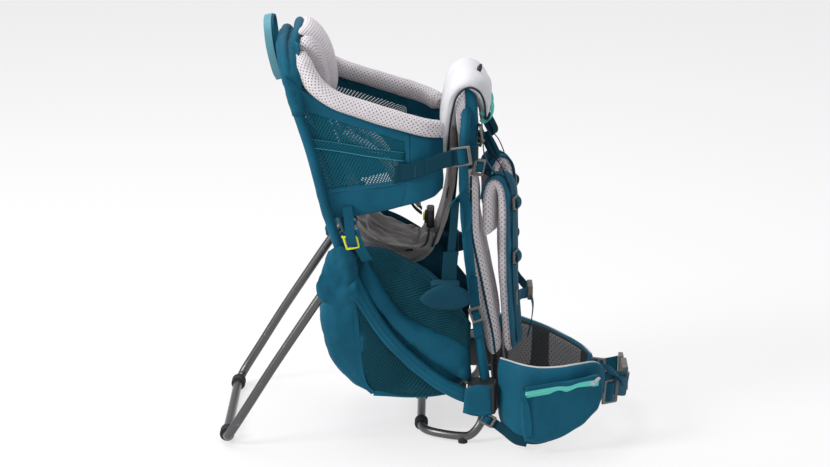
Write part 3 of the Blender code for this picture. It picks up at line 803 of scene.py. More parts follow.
def add_turned(name, profile, sides=32):
    """A round form along Z: each (radius, height) after the first is extruded from the one before."""
    bpy.ops.object.select_all(action="DESELECT")
    bpy.ops.mesh.primitive_circle_add(
        vertices=sides, radius=profile[0][0], fill_type="NGON", location=(0, 0, profile[0][1])
    )
    bpy.ops.object.transform_apply()
    piece = start_piece(name)
    for (last_radius, last_height), (radius, height) in zip(profile, profile[1:]):
        bpy.ops.mesh.extrude_region_move(TRANSFORM_OT_translate={"value": (0, 0, height - last_height)})
        bpy.ops.transform.resize(value=(radius / last_radius, radius / last_radius, 1))
    bpy.ops.mesh.select_all(action="SELECT")
    bpy.ops.mesh.normals_make_consistent(inside=False)
    bpy.ops.object.mode_set(mode="OBJECT")
    return piece


def add_slotted_plate(name, columns, rows, thickness, edge=0.0010):
    """A moulded plate from the widths of its columns and rows, open where an odd column meets an odd row."""
    bpy.ops.object.select_all(action="DESELECT")
    bpy.ops.mesh.primitive_grid_add(x_subdivisions=len(columns), y_subdivisions=len(rows), size=2)
    piece = bpy.context.object
    piece.name = name
    xs, ys = ([sum(w[:i]) - sum(w) / 2 for i in range(len(w) + 1)] for w in (columns, rows))
    for vert in piece.data.vertices:
        column = round((vert.co.x + 1) / 2 * len(columns))
        row = round((vert.co.y + 1) / 2 * len(rows))
        vert.co = (xs[column], ys[row], 0)
    bpy.ops.object.mode_set(mode="EDIT")
    bpy.ops.mesh.select_mode(type="FACE")
    bpy.ops.mesh.select_all(action="DESELECT")
    bpy.ops.object.mode_set(mode="OBJECT")
    for face in piece.data.polygons:
        column = sum(face.center.x > x for x in xs) - 1
        row = sum(face.center.y > y for y in ys) - 1
        face.select = column % 2 == 1 and row % 2 == 1
    bpy.ops.object.mode_set(mode="EDIT")
    bpy.ops.mesh.delete(type="FACE")
    bpy.ops.object.mode_set(mode="OBJECT")
    solid = piece.modifiers.new("plate", "SOLIDIFY")
    solid.thickness = thickness
    solid.offset = 0
    bevel = piece.modifiers.new("edge", "BEVEL")
    bevel.width = edge
    bevel.segments = 3
    apply_modifiers(piece)
    return piece


def put(piece, centre, forward, normal):
    """Turns a part's own X forward and its own Z along the normal, and takes it to its place."""
    forward, normal = Vector(forward).normalized(), Vector(normal).normalized()
    side = normal.cross(forward).normalized()
    forward = side.cross(normal)
    turn = Matrix((forward, side, normal)).transposed().to_4x4()
    piece.data.transform(Matrix.Translation(centre) @ turn)
    bpy.ops.object.select_all(action="DESELECT")
    bpy.context.view_layer.objects.active = piece
    piece.select_set(True)
    bpy.ops.object.shade_smooth_by_angle(angle=math.radians(35))
    return piece


def join_pieces(first, *others):
    bpy.ops.object.select_all(action="DESELECT")
    for piece in (first, *others):
        piece.select_set(True)
    bpy.context.view_layer.objects.active = first
    bpy.ops.object.join()
    return first


def ladder_lock(name, centre, forward, normal, length, width, body="frame", replaces=()):
    """The two-slot buckle that a strap is pulled through, with a lifted thumb bar."""
    bar, slot = length * 0.16, length * 0.26
    plate = add_slotted_plate(name, [bar, slot, bar, slot, bar], [0.004, width - 0.008, 0.004], 0.0046,
                              0.0015)
    grip = add_block(name + "_grip", (bar * 1.1, width * 0.94, 0.0042), 0.0012)
    grip.data.transform(Matrix.Translation((length / 2 - bar / 2, 0, 0.0016)))
    ribs = []
    for number in (-1, 0, 1):
        rib = add_block(name + "_rib", (0.0009, width * 0.8, 0.0009), 0.0003, 1)
        rib.data.transform(Matrix.Translation((length / 2 - bar / 2 + number * bar * 0.3, 0, 0.0038)))
        ribs.append(rib)
    join_pieces(plate, grip, *ribs)
    put(plate, centre, forward, normal)
    ahead, out = Vector(forward).normalized(), Vector(normal).normalized()
    ahead = (ahead - out * ahead.dot(out)).normalized()
    threaded = [Vector(centre) + ahead * length * a + out * b
                for a, b in ((-0.46, -0.0012), (-0.26, 0.0008), (-0.10, 0.0038), (0.10, 0.0038),
                             (0.28, -0.0006))]
    strap(name + "_webbing", threaded, out.cross(ahead), width - 0.0095, "teal_webbing", body,
          thickness=0.0016)
    return dress(plate, "buckle", body, replaces)


def cord_lock(name, centre, axis, body, size):
    """A barrel toggle with a spring button."""
    barrel = [(0.0036, -0.008), (0.0052, -0.007), (0.0056, 0), (0.0050, 0.005), (0.0034, 0.0056),
              (0.0034, 0.009)]
    profile = [(r * size, z * size) for r, z in [*barrel, (0.0022, 0.0102)]]
    piece = add_turned(name, profile, 20)
    put(piece, centre, Vector(axis).orthogonal(), axis)
    return dress(piece, "black_plastic", body)


# ------------------------------------------------------------------ frame tubes, hubs and feet

MAIN_HALF = [  # from the lower hub up the right side to the middle of the top bar
    (0.108, -0.150, 0.079), (0.045, -0.150, 0.110), (-0.030, -0.150, 0.176), (-0.084, -0.150, 0.252),
    (-0.120, -0.147, 0.330), (-0.150, -0.146, 0.415), (-0.174, -0.144, 0.511), (-0.205, -0.137, 0.610),
    (-0.220, -0.118, 0.668), (-0.227, -0.072, 0.697), (-0.228, 0.0, 0.702),
]
STAY_HALF = [  # from the lower hub up to the middle of the yoke
    (0.127, -0.125, 0.096), (0.112, -0.125, 0.200), (0.094, -0.125, 0.345), (0.086, -0.122, 0.450),
    (0.086, -0.112, 0.530), (0.090, -0.088, 0.580), (0.092, -0.045, 0.597), (0.092, 0.0, 0.600),
]
BASE_HALF = [  # from the lower hub down to the ground and back to the middle of the rear bar
    (0.122, -0.140, 0.062), (0.117, -0.146, 0.034), (0.100, -0.153, 0.015), (0.080, -0.152, 0.012),
    (0.045, -0.138, 0.012), (0.022, -0.120, 0.012), (0.013, -0.096, 0.012), (0.012, -0.050, 0.012),
    (0.012, 0.0, 0.012),
]
KICK_HALF = [  # from the axle down to the foot bar's middle
    (-0.120, -0.174, 0.333), (-0.157, -0.176, 0.282), (-0.205, -0.178, 0.210), (-0.250, -0.179, 0.141),
    (-0.289, -0.178, 0.078), (-0.319, -0.175, 0.030), (-0.329, -0.160, 0.0135), (-0.331, -0.120, 0.0130),
    (-0.331, 0.0, 0.0130),
]
AXLE = (-0.120, 0.333)  # kickstand axle, in X and Z
MAIN_LINE = smooth(mirrored(MAIN_HALF), 8)


def outward(point):
    """Away from the middle of the carrier: sideways on the sides, and to the rear on the top bar."""
    return Vector((-min(max((point.z - 0.60) / 0.08, 0), 1), point.y / 0.15, 0))


def ease(t):
    t = min(max(t, 0), 1)
    return t * t * (3 - 2 * t)


def sleeve_section(t):
    """Round on the upper tube, and a wider flat band with two sewn channels on the lower diagonal."""
    low = 1 - ease((min(t, 1 - t) - 0.17) / 0.06)
    outline = []
    for a, b in oval(0.0088 + 0.0038 * low, 0.0090 + 0.0006 * low, 48, 2.0 + 0.8 * low):
        groove = sum(math.exp(-(((a - g) / 0.0011) ** 2)) for g in (-0.0045, 0.0048)) * low
        outline.append((a, b - math.copysign(0.0018 * groove, b)))
    return outline


def make_tubes():
    sleeve = sweep("main_tube_sleeve", MAIN_LINE, sleeve_section, outward)
    ruffle(sleeve, 0.0009, (30, 40, 55), 3)
    dress(sleeve, "teal_cloth", "frame", ["main_frame_tube"])
    stay = rod("back_stay_sleeve", smooth(mirrored(STAY_HALF), 8), 0.0086, outward)
    ruffle(stay, 0.0007, (40, 40, 60), 5)
    dress(stay, "teal_cloth", "frame", ["back_stay_tube"])
    dress(rod("base_loop", smooth(mirrored(BASE_HALF), 10), 0.0075, UP, 24), "tube", "frame",
          ["base_frame_tube"])
    legs = rod("kickstand_legs", smooth(mirrored(KICK_HALF), 10), 0.0080, UP, 24)
    dress(legs, "tube", "kickstand", ["kickstand_tube"])


def make_hinge(name, side):
    """The kickstand's pivot: a ribbed disc on the frame, the flattened eye of the leg, and a screw."""
    disc = [(0.0150, -0.004), (0.0190, -0.0032), (0.0200, 0.0), (0.0196, 0.0030), (0.0170, 0.0036),
            (0.0160, 0.0028),
            (0.0110, 0.0028), (0.0104, 0.0037)]
    plate = add_turned(f"hinge_disc_{name}", disc, 40)
    put(plate, (AXLE[0], side * 0.160, AXLE[1]), (1, 0, 0), (0, side, 0))
    dress(plate, "black_plastic", "frame", [f"hinge_block_{name}"])
    eye = add_turned(f"leg_eye_{name}",
                     [(0.0098, -0.008), (0.0110, -0.0066), (0.0110, 0.0066), (0.0098, 0.008)], 36)
    put(eye, (AXLE[0], side * 0.1745, AXLE[1]), (1, 0, 0), (0, side, 0))
    dress(eye, "tube", "kickstand")
    screw = [(0.0029, -0.012), (0.0029, 0.0108), (0.0060, 0.0109), (0.0064, 0.0124), (0.0050, 0.0138),
             (0.0026, 0.0140),
             (0.0024, 0.0118)]
    head = add_turned(f"hinge_screw_{name}", screw, 24)
    put(head, (AXLE[0], side * 0.1722, AXLE[1]), (1, 0, 0), (0, side, 0))
    dress(head, "steel", "frame", [f"hinge_pin_{name}"])


def make_rubber_foot(name, centre, axis, radius, length, body, node):
    """A sleeve with grooves, pressed on the tube."""
    half = length / 2
    profile = [(radius * 0.70, -half), (radius * 0.94, -half), (radius, -half * 0.84)]
    for groove in (-0.4, 0.0, 0.4):
        profile += [(radius, (groove - 0.14) * half), (radius * 0.93, (groove - 0.09) * half),
                    (radius * 0.93, (groove + 0.09) * half), (radius, (groove + 0.14) * half)]
    profile += [(radius, half * 0.84), (radius * 0.94, half), (radius * 0.70, half)]
    foot = add_turned(name, profile, 32)
    put(foot, centre, Vector(axis).orthogonal(), axis)
    return dress(foot, "rubber", body, [node])


def make_hub(name, side):
    """The moulded joint of the three tubes, with a recessed outer face and two screws."""
    hub = add_block(f"hub_{name}", (0.050, 0.056, 0.050), 0.006, 4)
    add_recess(hub, (0, 0, 1), 0.005, 0.0015)
    put(hub, flip((0.119, -0.138, 0.082), side), (1, 0, 0), (0, side, 0))
    dress(hub, "black_plastic", "frame", [f"lower_hub_{name}"])
    profile = [(0.0040, -0.001), (0.0044, 0.0008), (0.0034, 0.0018), (0.0020, 0.0018), (0.0018, 0.0006)]
    for number, x in enumerate((0.106, 0.132)):
        screw = add_turned(f"hub_screw_{name}_{number}", profile, 20)
        put(screw, (x, side * 0.1622, 0.066), (1, 0, 0), (0, side, 0))
        dress(screw, "steel", "frame")


HUB_PATCH_OUT = 0.1655


def hub_patch_point(x, z, side, lift=0.0):
    return flip((x, -HUB_PATCH_OUT - lift, z), side)


def make_hub_patch(name, side):
    """The padded fabric patch sewn over the hub, where the sleeve ends."""
    shape = patch([(0.086, 0.060), (0.112, 0.053), (0.137, 0.056)],
                  [(0.089, 0.104), (0.112, 0.112), (0.135, 0.108)])
    pad(f"hub_patch_{name}", lambda u, v: hub_patch_point(*shape(u, v), side), 0.007, "teal_cloth",
        counts=(18, 16), sharpness=(5, 5), wrinkles=(0.0012, (40, 1, 40), 4))
    edge = [hub_patch_point(*shape(u, 0.12), side, 0.0030) for u in even(16)]
    stitches(f"hub_patch_stitches_{name}", edge)


make_tubes()
for side_name, side in SIDES:
    make_hinge(side_name, side)
    make_hub(side_name, side)
    make_hub_patch(side_name, side)
    make_rubber_foot(f"kick_sleeve_{side_name}", (-0.3305, side * 0.140, 0.0130), (0, 1, 0), 0.0130, 0.022,
                     "kickstand", f"kickstand_foot_{side_name}")
    make_rubber_foot(f"rear_sleeve_{side_name}", (0.0122, side * 0.080, 0.0120), (0, 1, 0), 0.0120, 0.018,
                     "frame", f"base_foot_rear_{side_name}")
    make_rubber_foot(f"front_button_{side_name}", (0.086, side * 0.1530, 0.0060), (0, 0, 1), 0.0085, 0.012,
                     "frame", f"base_foot_front_{side_name}")


# ------------------------------------------------------------------ storage bag

BAG_OUTLINE = [
    (-0.128, 0, 0.300), (-0.158, 0, 0.262), (-0.164, 0, 0.205), (-0.151, 0, 0.150), (-0.122, 0, 0.108),
    (-0.075, 0, 0.079), (-0.010, 0, 0.074), (0.055, 0, 0.078), (0.088, 0, 0.098), (0.094, 0, 0.145),
    (0.060, 0, 0.205), (0.000, 0, 0.255), (-0.070, 0, 0.285),
]


def bag_wall(x, z):
    """How far out the bag's side lies: it swells behind the diagonal tube and in front of it."""
    rear = max(0, 1 - ((x + 0.085) / 0.09) ** 2 - ((z - 0.19) / 0.12) ** 2)
    front = max(0, 1 - ((x - 0.03) / 0.08) ** 2 - ((z - 0.23) / 0.12) ** 2)
    return 0.1262 + 0.012 * rear + 0.011 * front


def bag_point(x, z, side, lift=0.0):
    return flip((x, -bag_wall(x, z) - lift, z), side)


def make_bag():
    outline = closed_line([Vector(p) for p in BAG_OUTLINE], 6)
    middle = Vector((-0.045, 0, 0.175))
    rows = []
    for scale, share in ((0.03, 1), (0.25, 1), (0.45, 1), (0.62, 1), (0.76, 0.998), (0.86, 0.985),
                         (0.93, 0.960),
                         (0.975, 0.925), (1.0, 0.875)):
        ring = [middle + (p - middle) * scale for p in outline]
        rows.append([Vector((p.x, -bag_wall(p.x, p.z) * share, p.z)) for p in ring])
    for step in range(1, 12):
        y = -0.110 + 0.220 * step / 12
        swell = 1 + 0.035 * (1 - (y / 0.11) ** 2)
        rows.append([middle + Vector(((p.x - middle.x) * swell, y,
                                      (p.z - middle.z) * swell)) for p in outline])
    rows += [[Vector((p.x, -p.y, p.z)) for p in row] for row in reversed(rows[:9])]
    bag = skin("bag_shell", rows, closed=True, capped=True)
    soften(bag)
    breathe(bag, 2.5, 0.004)
    ruffle(bag, 0.0035, (16, 11, 24), 7)
    press_folds(bag, [
        ([bag_point(-0.150, 0.235, -1), bag_point(-0.138, 0.160, -1), bag_point(-0.098, 0.100, -1)], 0.003,
         0.006),
        ([bag_point(-0.120, 0.262, -1), bag_point(-0.130, 0.200, -1)], 0.0025, 0.008),
        ([bag_point(-0.150, 0.235, 1), bag_point(-0.138, 0.160, 1), bag_point(-0.098, 0.100, 1)], 0.003,
         0.006),
    ])
    dress(bag, "teal_cloth", "frame", ["storage_bag"])


WING_LOW = [(-0.112, 0.290), (-0.070, 0.248), (-0.020, 0.192), (0.030, 0.146), (0.075, 0.118), (0.098, 0.110)]
WING_HIGH = [(-0.128, 0.345), (-0.060, 0.350), (-0.006, 0.326), (0.030, 0.295), (0.070, 0.250),
             (0.100, 0.213)]


def make_bag_side(name, side):
    """The net pocket under the diagonal tube, and the gusset and stretch panel above it."""
    pocket = patch(
        [(-0.106, 0.262), (-0.101, 0.215), (-0.096, 0.150), (-0.088, 0.104), (-0.072, 0.084)],
        [(-0.098, 0.270), (-0.052, 0.208), (-0.004, 0.154), (0.044, 0.112), (0.080, 0.092)],
        right=[(-0.072, 0.084), (-0.010, 0.080), (0.040, 0.083), (0.080, 0.092)],
    )
    panel(f"side_pocket_net_{name}", lambda u,
          v: bag_point(*pocket(u, v), side, 0.0050 * math.sin(math.pi * v) + 0.002),
          "pocket_net", counts=(40, 20), thickness=0.0009, rests_on="bag_shell",
          wrinkles=(0.0016, (30, 1, 34), 5))
    for label, edge in (("seam", 0.0), ("top", 0.97)):
        line = [bag_point(*pocket(u, edge), side, 0.0036) for u in even(26)]
        strap(f"side_pocket_{label}_binding_{name}", line, (0.9, 0, 0.35), 0.009, "teal_cloth", spans=1)
    hem = [bag_point(*pocket(1, v), side, 0.0036) for v in even(20)]
    strap(f"side_pocket_hem_{name}", hem, (0, 0, 1), 0.009, "teal_cloth", spans=1)
    wing = patch(WING_LOW, WING_HIGH)
    # painted shade: the wing above the swell takes the half-bright copy of the teal cloth
    piece = pad(f"bag_wing_{name}", lambda u, v: bag_point(*wing(u, v), side, 0.001), 0.006, "teal_shade",
                replaces=[f"bag_side_{name}"], counts=(40, 26), sharpness=(10, 8),
                wrinkles=(0.0030, (26, 1, 30), 11))
    net = patch([(-0.094, 0.292), (-0.060, 0.262), (-0.010, 0.214), (0.040, 0.176), (0.094, 0.150)],
                [(-0.112, 0.344), (-0.060, 0.347), (-0.008, 0.322), (0.030, 0.290), (0.068, 0.248),
                 (0.096, 0.214)])
    panel(f"stretch_panel_{name}", lambda u,
          v: bag_point(*net(u, v), side, 0.0052 + 0.006 * math.sin(math.pi * v)),
          "pocket_net", counts=(50, 26), thickness=0.0009, rests_on=piece.name,
          wrinkles=(0.0032, (34, 1, 44), 6))
    top = [bag_point(*net(u, 1), side, 0.0056) for u in even(30)]
    strap(f"stretch_hem_{name}", top, (0.5, 0, 1), 0.006, "teal_shade", spans=1)
    swell = patch([(-0.104, 0.300), (-0.070, 0.248), (-0.024, 0.196), (0.030, 0.146), (0.082, 0.112),
                   (0.096, 0.108)],
                  [(-0.086, 0.334), (-0.062, 0.290), (-0.026, 0.242), (0.014, 0.216), (0.052, 0.200),
                   (0.094, 0.172)])
    pad(f"bag_swell_{name}", lambda u, v: bag_point(*swell(u, v), side, 0.006), 0.026, "teal_cloth",
        counts=(50, 26), sharpness=(7, 3), wrinkles=(0.0026, (30, 1, 26), 8), air=(2.5, 0.003))
    flap = patch([(-0.166, 0.284), (-0.150, 0.268), (-0.130, 0.264), (-0.110, 0.268), (-0.096, 0.280)],
                 [(-0.148, 0.350), (-0.137, 0.358), (-0.123, 0.360), (-0.110, 0.352), (-0.100, 0.338)],
                 left=[(-0.166, 0.284), (-0.166, 0.308), (-0.157, 0.330), (-0.148, 0.350)])

    def hood(u, v):
        x, z = flap(u, v)
        out = ease(max(1.9 * (1 - u) + 0.40, 1.7 * (1 - v) - 0.15)) * ease(2.4 * (1 - v) + 0.12)
        return flip((x, -0.1565 - 0.0415 * out, z), side)

    pad(f"hinge_hood_{name}", hood, 0.005, "teal_cloth", counts=(34, 34), sharpness=(7, 7), fill=0.3,
        wrinkles=(0.0042, (46, 20, 50), 15))


make_bag()
for side_name, side in SIDES:
    make_bag_side(side_name, side)


# ------------------------------------------------------------------ cockpit walls and rim

WALL_LOW = [
    (-0.148, -0.1385, 0.404), (-0.130, -0.1340, 0.4055), (-0.090, -0.1345, 0.409), (-0.040, -0.1345, 0.421),
    (0.010, -0.1330, 0.433), (0.036, -0.1240, 0.441), (0.050, -0.1000, 0.450),
]
WALL_HIGH = [
    (-0.204, -0.1370, 0.610), (-0.172, -0.1300, 0.600), (-0.125, -0.1310, 0.585), (-0.062, -0.1320, 0.569),
    (-0.005, -0.1310, 0.554), (0.029, -0.1230, 0.545), (0.050, -0.0980, 0.538),
]
RIM_LINE = [
    (-0.196, -0.098, 0.690), (-0.186, -0.112, 0.662), (-0.168, -0.124, 0.636), (-0.140, -0.131, 0.616),
    (-0.096, -0.134, 0.600), (-0.042, -0.135, 0.583), (0.005, -0.132, 0.569), (0.030, -0.120, 0.561),
    (0.046, -0.098, 0.556),
]


def wall_point(x, z, side, lift=0.0):
    """A point of the cockpit's side wall, which swells a little between its lower hem and the rim."""
    low, high = read_rail(WALL_LOW, x), read_rail(WALL_HIGH, x)
    share = min(max((z - low.z) / (high.z - low.z), -0.1), 1.1)
    y = low.y + (high.y - low.y) * share - 0.005 * math.sin(math.pi * min(max(share, 0), 1))
    return flip((x, y - lift, z), side)


WINDOW = patch(
    [(-0.167, 0.452), (-0.120, 0.458), (-0.085, 0.462), (-0.050, 0.466), (-0.027, 0.471), (-0.015, 0.480),
     (-0.0105, 0.497)],
    [(-0.209, 0.606), (-0.168, 0.606), (-0.129, 0.594), (-0.081, 0.578), (-0.045, 0.567), (-0.013, 0.556)],
)
LOWER_BAND = patch(
    [(-0.151, 0.404), (-0.102, 0.408), (-0.060, 0.4165), (-0.018, 0.4268)],
    [(-0.167, 0.457), (-0.120, 0.461), (-0.085, 0.465), (-0.045, 0.470), (-0.006, 0.476)],
)
TOP_BAND = patch(
    [(-0.210, 0.602), (-0.175, 0.5905), (-0.130, 0.5765), (-0.081, 0.5615), (-0.045, 0.5505),
     (-0.013, 0.5400)],
    [(-0.222, 0.662), (-0.190, 0.630), (-0.150, 0.606), (-0.100, 0.588), (-0.050, 0.574), (-0.011, 0.562)],
)
FRONT_WALL = patch(
    [(-0.030, 0.4235), (-0.005, 0.4295), (0.017, 0.434), (0.040, 0.4435), (0.050, 0.450)],
    [(-0.016, 0.558), (0.002, 0.553), (0.020, 0.548), (0.036, 0.544), (0.050, 0.540)],
    left=[(-0.030, 0.4235), (-0.016, 0.460), (-0.011, 0.500), (-0.016, 0.558)],
)


def make_wall(name, side):
    replaced = [f"cockpit_side_{name}"]
    panel(f"window_{name}", lambda u, v: wall_point(*WINDOW(u, v), side), "window_net", counts=(60, 44),
          thickness=0.0008, wrinkles=(0.0016, (22, 1, 26), 2), replaces=replaced)
    pad(f"lower_band_{name}", lambda u, v: wall_point(*LOWER_BAND(u, v), side, 0.0005), 0.005, "teal_cloth",
        counts=(40, 14), sharpness=(12, 6), wrinkles=(0.0014, (20, 1, 34), 3))
    pad(f"front_wall_{name}", lambda u, v: wall_point(*FRONT_WALL(u, v), side, 0.0), 0.005, "teal_cloth",
        counts=(26, 30), sharpness=(9, 12), wrinkles=(0.0016, (26, 1, 30), 4))
    panel(f"wall_top_band_{name}", lambda u, v: wall_point(*TOP_BAND(u, v), side, 0.0018), "teal_cloth",
          counts=(50, 8), wrinkles=(0.0012, (30, 1, 30), 6))
    seams = {
        "rear": [wall_point(*WINDOW(0.06, v), side, 0.0016) for v in even(20)],
        "front": [wall_point(*WINDOW(1, v), side, 0.0020) for v in even(8)],
        "under": [wall_point(*WINDOW(u, 0.0), side, 0.0026) for u in even(30)],
    }
    for label, line in seams.items():
        across = (1, 0, 0.2) if label != "under" else (0.1, 0, 1)
        strap(f"window_binding_{label}_{name}", line, across, 0.0075, "teal_cloth", spans=1, thickness=0.0014)
    stitches(f"wall_stitches_{name}", [wall_point(*LOWER_BAND(u, 0.90), side, 0.0034) for u in even(40)])
    across_window = [(-0.184, 0.541), (-0.130, 0.532), (-0.075, 0.523), (-0.016, 0.515)]
    line = [wall_point(x, z, side, 0.0022) for x, z in across_window]
    strap(f"window_strap_{name}", line, (0.05, 0, 1), 0.0150, "window_net")
    for edge in (-0.0072, 0.0072):
        hem = smooth([wall_point(x, z + edge, side, 0.0032) for x, z in across_window], 10)
        strap(f"window_strap_hem_{name}_{int(edge > 0)}", hem, (0.05, 0, 1), 0.0016, "thread",
              thickness=0.0008, spans=1)


def rim_section(t):
    """A full roll that narrows where it is sewn in at both ends."""
    size = 0.55 + 0.45 * ease(min(t / 0.10, (1 - t) / 0.07))
    return oval(0.0168 * size, 0.0158 * size, 28, 2.3)


def make_rim(name, side):
    line = smooth(on_side(RIM_LINE, side), 8)
    rim = sweep(f"rim_roll_{name}", line, rim_section, UP)
    soften(rim)
    breathe(rim, 2.0, 0.002)
    ruffle(rim, 0.0012, (18, 18, 22), 9)
    dress(rim, "fine_spacer", "frame", [f"rim_pad_{name}"])
    frames = directions(line, UP)
    seam = [p - over * 0.0146 - across * side * 0.006 for p, (_, across, over) in zip(line, frames)]
    piping(f"rim_piping_{name}", seam[3:-3], 0.0021, "teal_piping")


for side_name, side in SIDES:
    make_wall(side_name, side)
    make_rim(side_name, side)


# ------------------------------------------------------------------ headrest, seat back and grab loop

HEADREST_PROFILE = [
    (-0.184, 0, 0.572), (-0.196, 0, 0.604), (-0.202, 0, 0.652), (-0.203, 0, 0.700), (-0.190, 0, 0.714),
    (-0.173, 0, 0.706), (-0.159, 0, 0.684), (-0.151, 0, 0.660), (-0.147, 0, 0.628), (-0.153, 0, 0.596),
]


def loft(name, outline, stations):
    """A closed form from one loop; each station gives y, a scale, and a shift in X and Z."""
    middle = sum(outline, Vector()) / len(outline)
    rows = []
    for y, scale, shift_x, shift_z in stations:
        rows.append([middle + (p - middle) * scale + Vector((shift_x, y, shift_z)) for p in outline])
    return skin(name, rows, closed=True, capped=True)


def rounded_stations(half_width, edge, end_scale, swell=0.0, count=8):
    """Stations of a pillow: rounded over the last stretch of its width, and a little fuller in the middle."""
    turns = [math.pi / 2 * i / count for i in range(count + 1)]
    ends = [(-half_width - 0.0004, end_scale * 0.5)]
    ends += [(-half_width + edge * (1 - math.cos(a)),
              end_scale + (1 - end_scale) * math.sin(a)) for a in turns]
    inner = -half_width + edge
    middle = [(y, 1 + swell * (1 - (y / inner) ** 2)) for y in (inner * (1 - i / 5) for i in range(1, 6))]
    half = [*ends, *middle]
    return [(y, s, 0, 0) for y, s in half] + [(-y, s, 0, 0) for y, s in reversed(half[:-1])]


def make_headrest():
    outline = closed_line([Vector(p) for p in HEADREST_PROFILE], 5)
    core = loft("headrest_core", outline, rounded_stations(0.083, 0.022, 0.62, 0.03))
    soften(core)
    breathe(core, 2.5, 0.003)
    ruffle(core, 0.0016, (22, 14, 20), 12)
    dress(core, "fine_spacer", "frame", ["headrest_pad"])
    face_line = smooth([(-0.200, 0, 0.7165), (-0.186, 0, 0.7195), (-0.168, 0, 0.706), (-0.154, 0, 0.682),
                        (-0.1465, 0, 0.655), (-0.143, 0, 0.625), (-0.149, 0, 0.594)], 8)
    half_widths = [0.067, 0.067, 0.065, 0.062, 0.057, 0.050, 0.040]

    def face(u, v):
        half, across = blend_values(half_widths, u), 2 * v - 1
        inward = Vector((-0.011, 0, -0.006)) * abs(across) ** 2.6
        return along(face_line, u) + Vector((0, half * across, 0)) + inward

    pad("headrest_face", face, 0.014, "rib_knit", fill=0.7, counts=(44, 34), sharpness=(9, 6), offset=-0.001,
        wrinkles=(0.0012, (16, 16, 20), 3), air=(2.5, 0.003))
    for label, edge in EDGES:
        piping(f"headrest_piping_{label}", [face(u, edge) for u in even(30)], 0.0014)


def make_cover():
    """The teal cloth that folds over the top tube and down behind the headrest."""
    top = MAIN_LINE[len(MAIN_LINE) * 34 // 100 : len(MAIN_LINE) * 66 // 100 + 1]
    rows = []
    for i, (_, _, over) in enumerate(directions(top, outward)):
        inward = Vector((1, -top[i].y * 0.6, 0.10)).normalized()
        share = math.sqrt(max(0, math.sin(math.pi * i / (len(top) - 1))))
        reach = 0.0110 + 0.0065 * share
        ring = []
        for step in range(32):
            a = 2 * math.pi * step / 32
            bulge = inward * (math.sin(a) * reach + 0.0085 * share)
            ring.append(top[i] + over * math.cos(a) * 0.0112 + bulge)
        rows.append(ring)
    cover = skin("headrest_cover", rows, closed=True, capped=True)
    ruffle(cover, 0.0016, (10, 14, 70), 14)
    arch = mirrored([(-0.200, -0.0880, 0.590), (-0.2070, -0.0890, 0.620), (-0.2095, -0.0880, 0.655),
                     (-0.2085, -0.0820, 0.690), (-0.2055, -0.0640, 0.7095), (-0.2030, -0.0360, 0.7150),
                     (-0.2020, 0.0, 0.7165)])
    seam = sweep("cover_seam", smooth(arch, 8), oval(0.0098, 0.0086, 24, 2.0), outward)
    ruffle(seam, 0.0009, (20, 20, 60), 15)
    dress(seam, "teal_cloth")
    dress(cover, "teal_cloth")
    shell_line = smooth([(-0.184, 0, 0.556), (-0.203, 0, 0.600), (-0.2120, 0, 0.650), (-0.2140, 0, 0.706)], 8)

    def shell(u, v):
        across = 2 * v - 1
        return along(shell_line, u) + Vector((0.016 * abs(across) ** 2.5, 0.110 * across, 0))

    pad("headrest_back", shell, 0.008, "teal_cloth", replaces=["headrest_shell"], counts=(36, 26),
        sharpness=(8, 8),
        wrinkles=(0.0016, (20, 14, 26), 6))
    for share in (0.3, 0.7):
        line = [shell(u, share) - Vector((0.0036, 0, 0)) for u in even(24)]
        stitches(f"headrest_back_stitches_{int(share * 10)}", line)
    for name, side in SIDES:
        wrap = [MAIN_LINE[k] for k in range(len(MAIN_LINE)) if 0.600 < MAIN_LINE[k].z < 0.634
                and MAIN_LINE[k].y * side > 0]
        wrap = wrap if side < 0 else list(reversed(wrap))
        band = sweep(f"sleeve_wrap_{name}", wrap, oval(0.0105, 0.0108, 24), outward)
        ruffle(band, 0.0008, (40, 40, 90), 8)
        dress(band, "teal_webbing")


def make_grab_loop():
    half = [(-0.2330, -0.046, 0.634), (-0.2400, -0.049, 0.650), (-0.2490, -0.050, 0.688),
            (-0.2530, -0.045, 0.719),
            (-0.2545, -0.026, 0.7305), (-0.2550, 0.0, 0.7325)]
    line = mirrored(half)
    way = Vector((1, 0, 0.22)).normalized()
    strap("grab_loop_webbing", line, way, 0.0175, "teal_webbing", thickness=0.0022, spans=8,
          replaces=["grab_loop"])
    middle = Vector((-0.250, 0, 0.680))
    outer = [p - way * 0.0020 + (p - middle).normalized() * 0.0021 for p in smooth(line, 8)]
    strap("grab_loop_face", outer, way, 0.0135, "loop_webbing", thickness=0.0018, spans=1)


def make_seat_back():
    line = smooth([(-0.118, 0, 0.372), (-0.134, 0, 0.430), (-0.152, 0, 0.500), (-0.178, 0, 0.553)], 8)

    def back(u, v):
        across = 2 * v - 1
        return along(line, u) + Vector((-0.012 * (1 - across * across), 0.126 * across, 0))

    def channels(u, v):
        return 1 - 0.55 * math.exp(-(((v - 0.27) / 0.02) ** 2)) - 0.55 * math.exp(-(((v - 0.73) / 0.02) ** 2))

    pad("seat_back_panel", back, 0.014, "teal_shade", replaces=["seat_back"], counts=(34, 40),
        sharpness=(9, 9),
        relief=channels, wrinkles=(0.0015, (18, 12, 20), 5))
    for number, share in enumerate((0.27, 0.73)):
        stitches(f"seat_back_stitches_{number}", [back(u, share) + Vector((-0.0046, 0, 0)) for u in even(20)])


make_headrest()
make_cover()
make_grab_loop()
make_seat_back()


# ------------------------------------------------------------------ front pad, chin pad and back padding


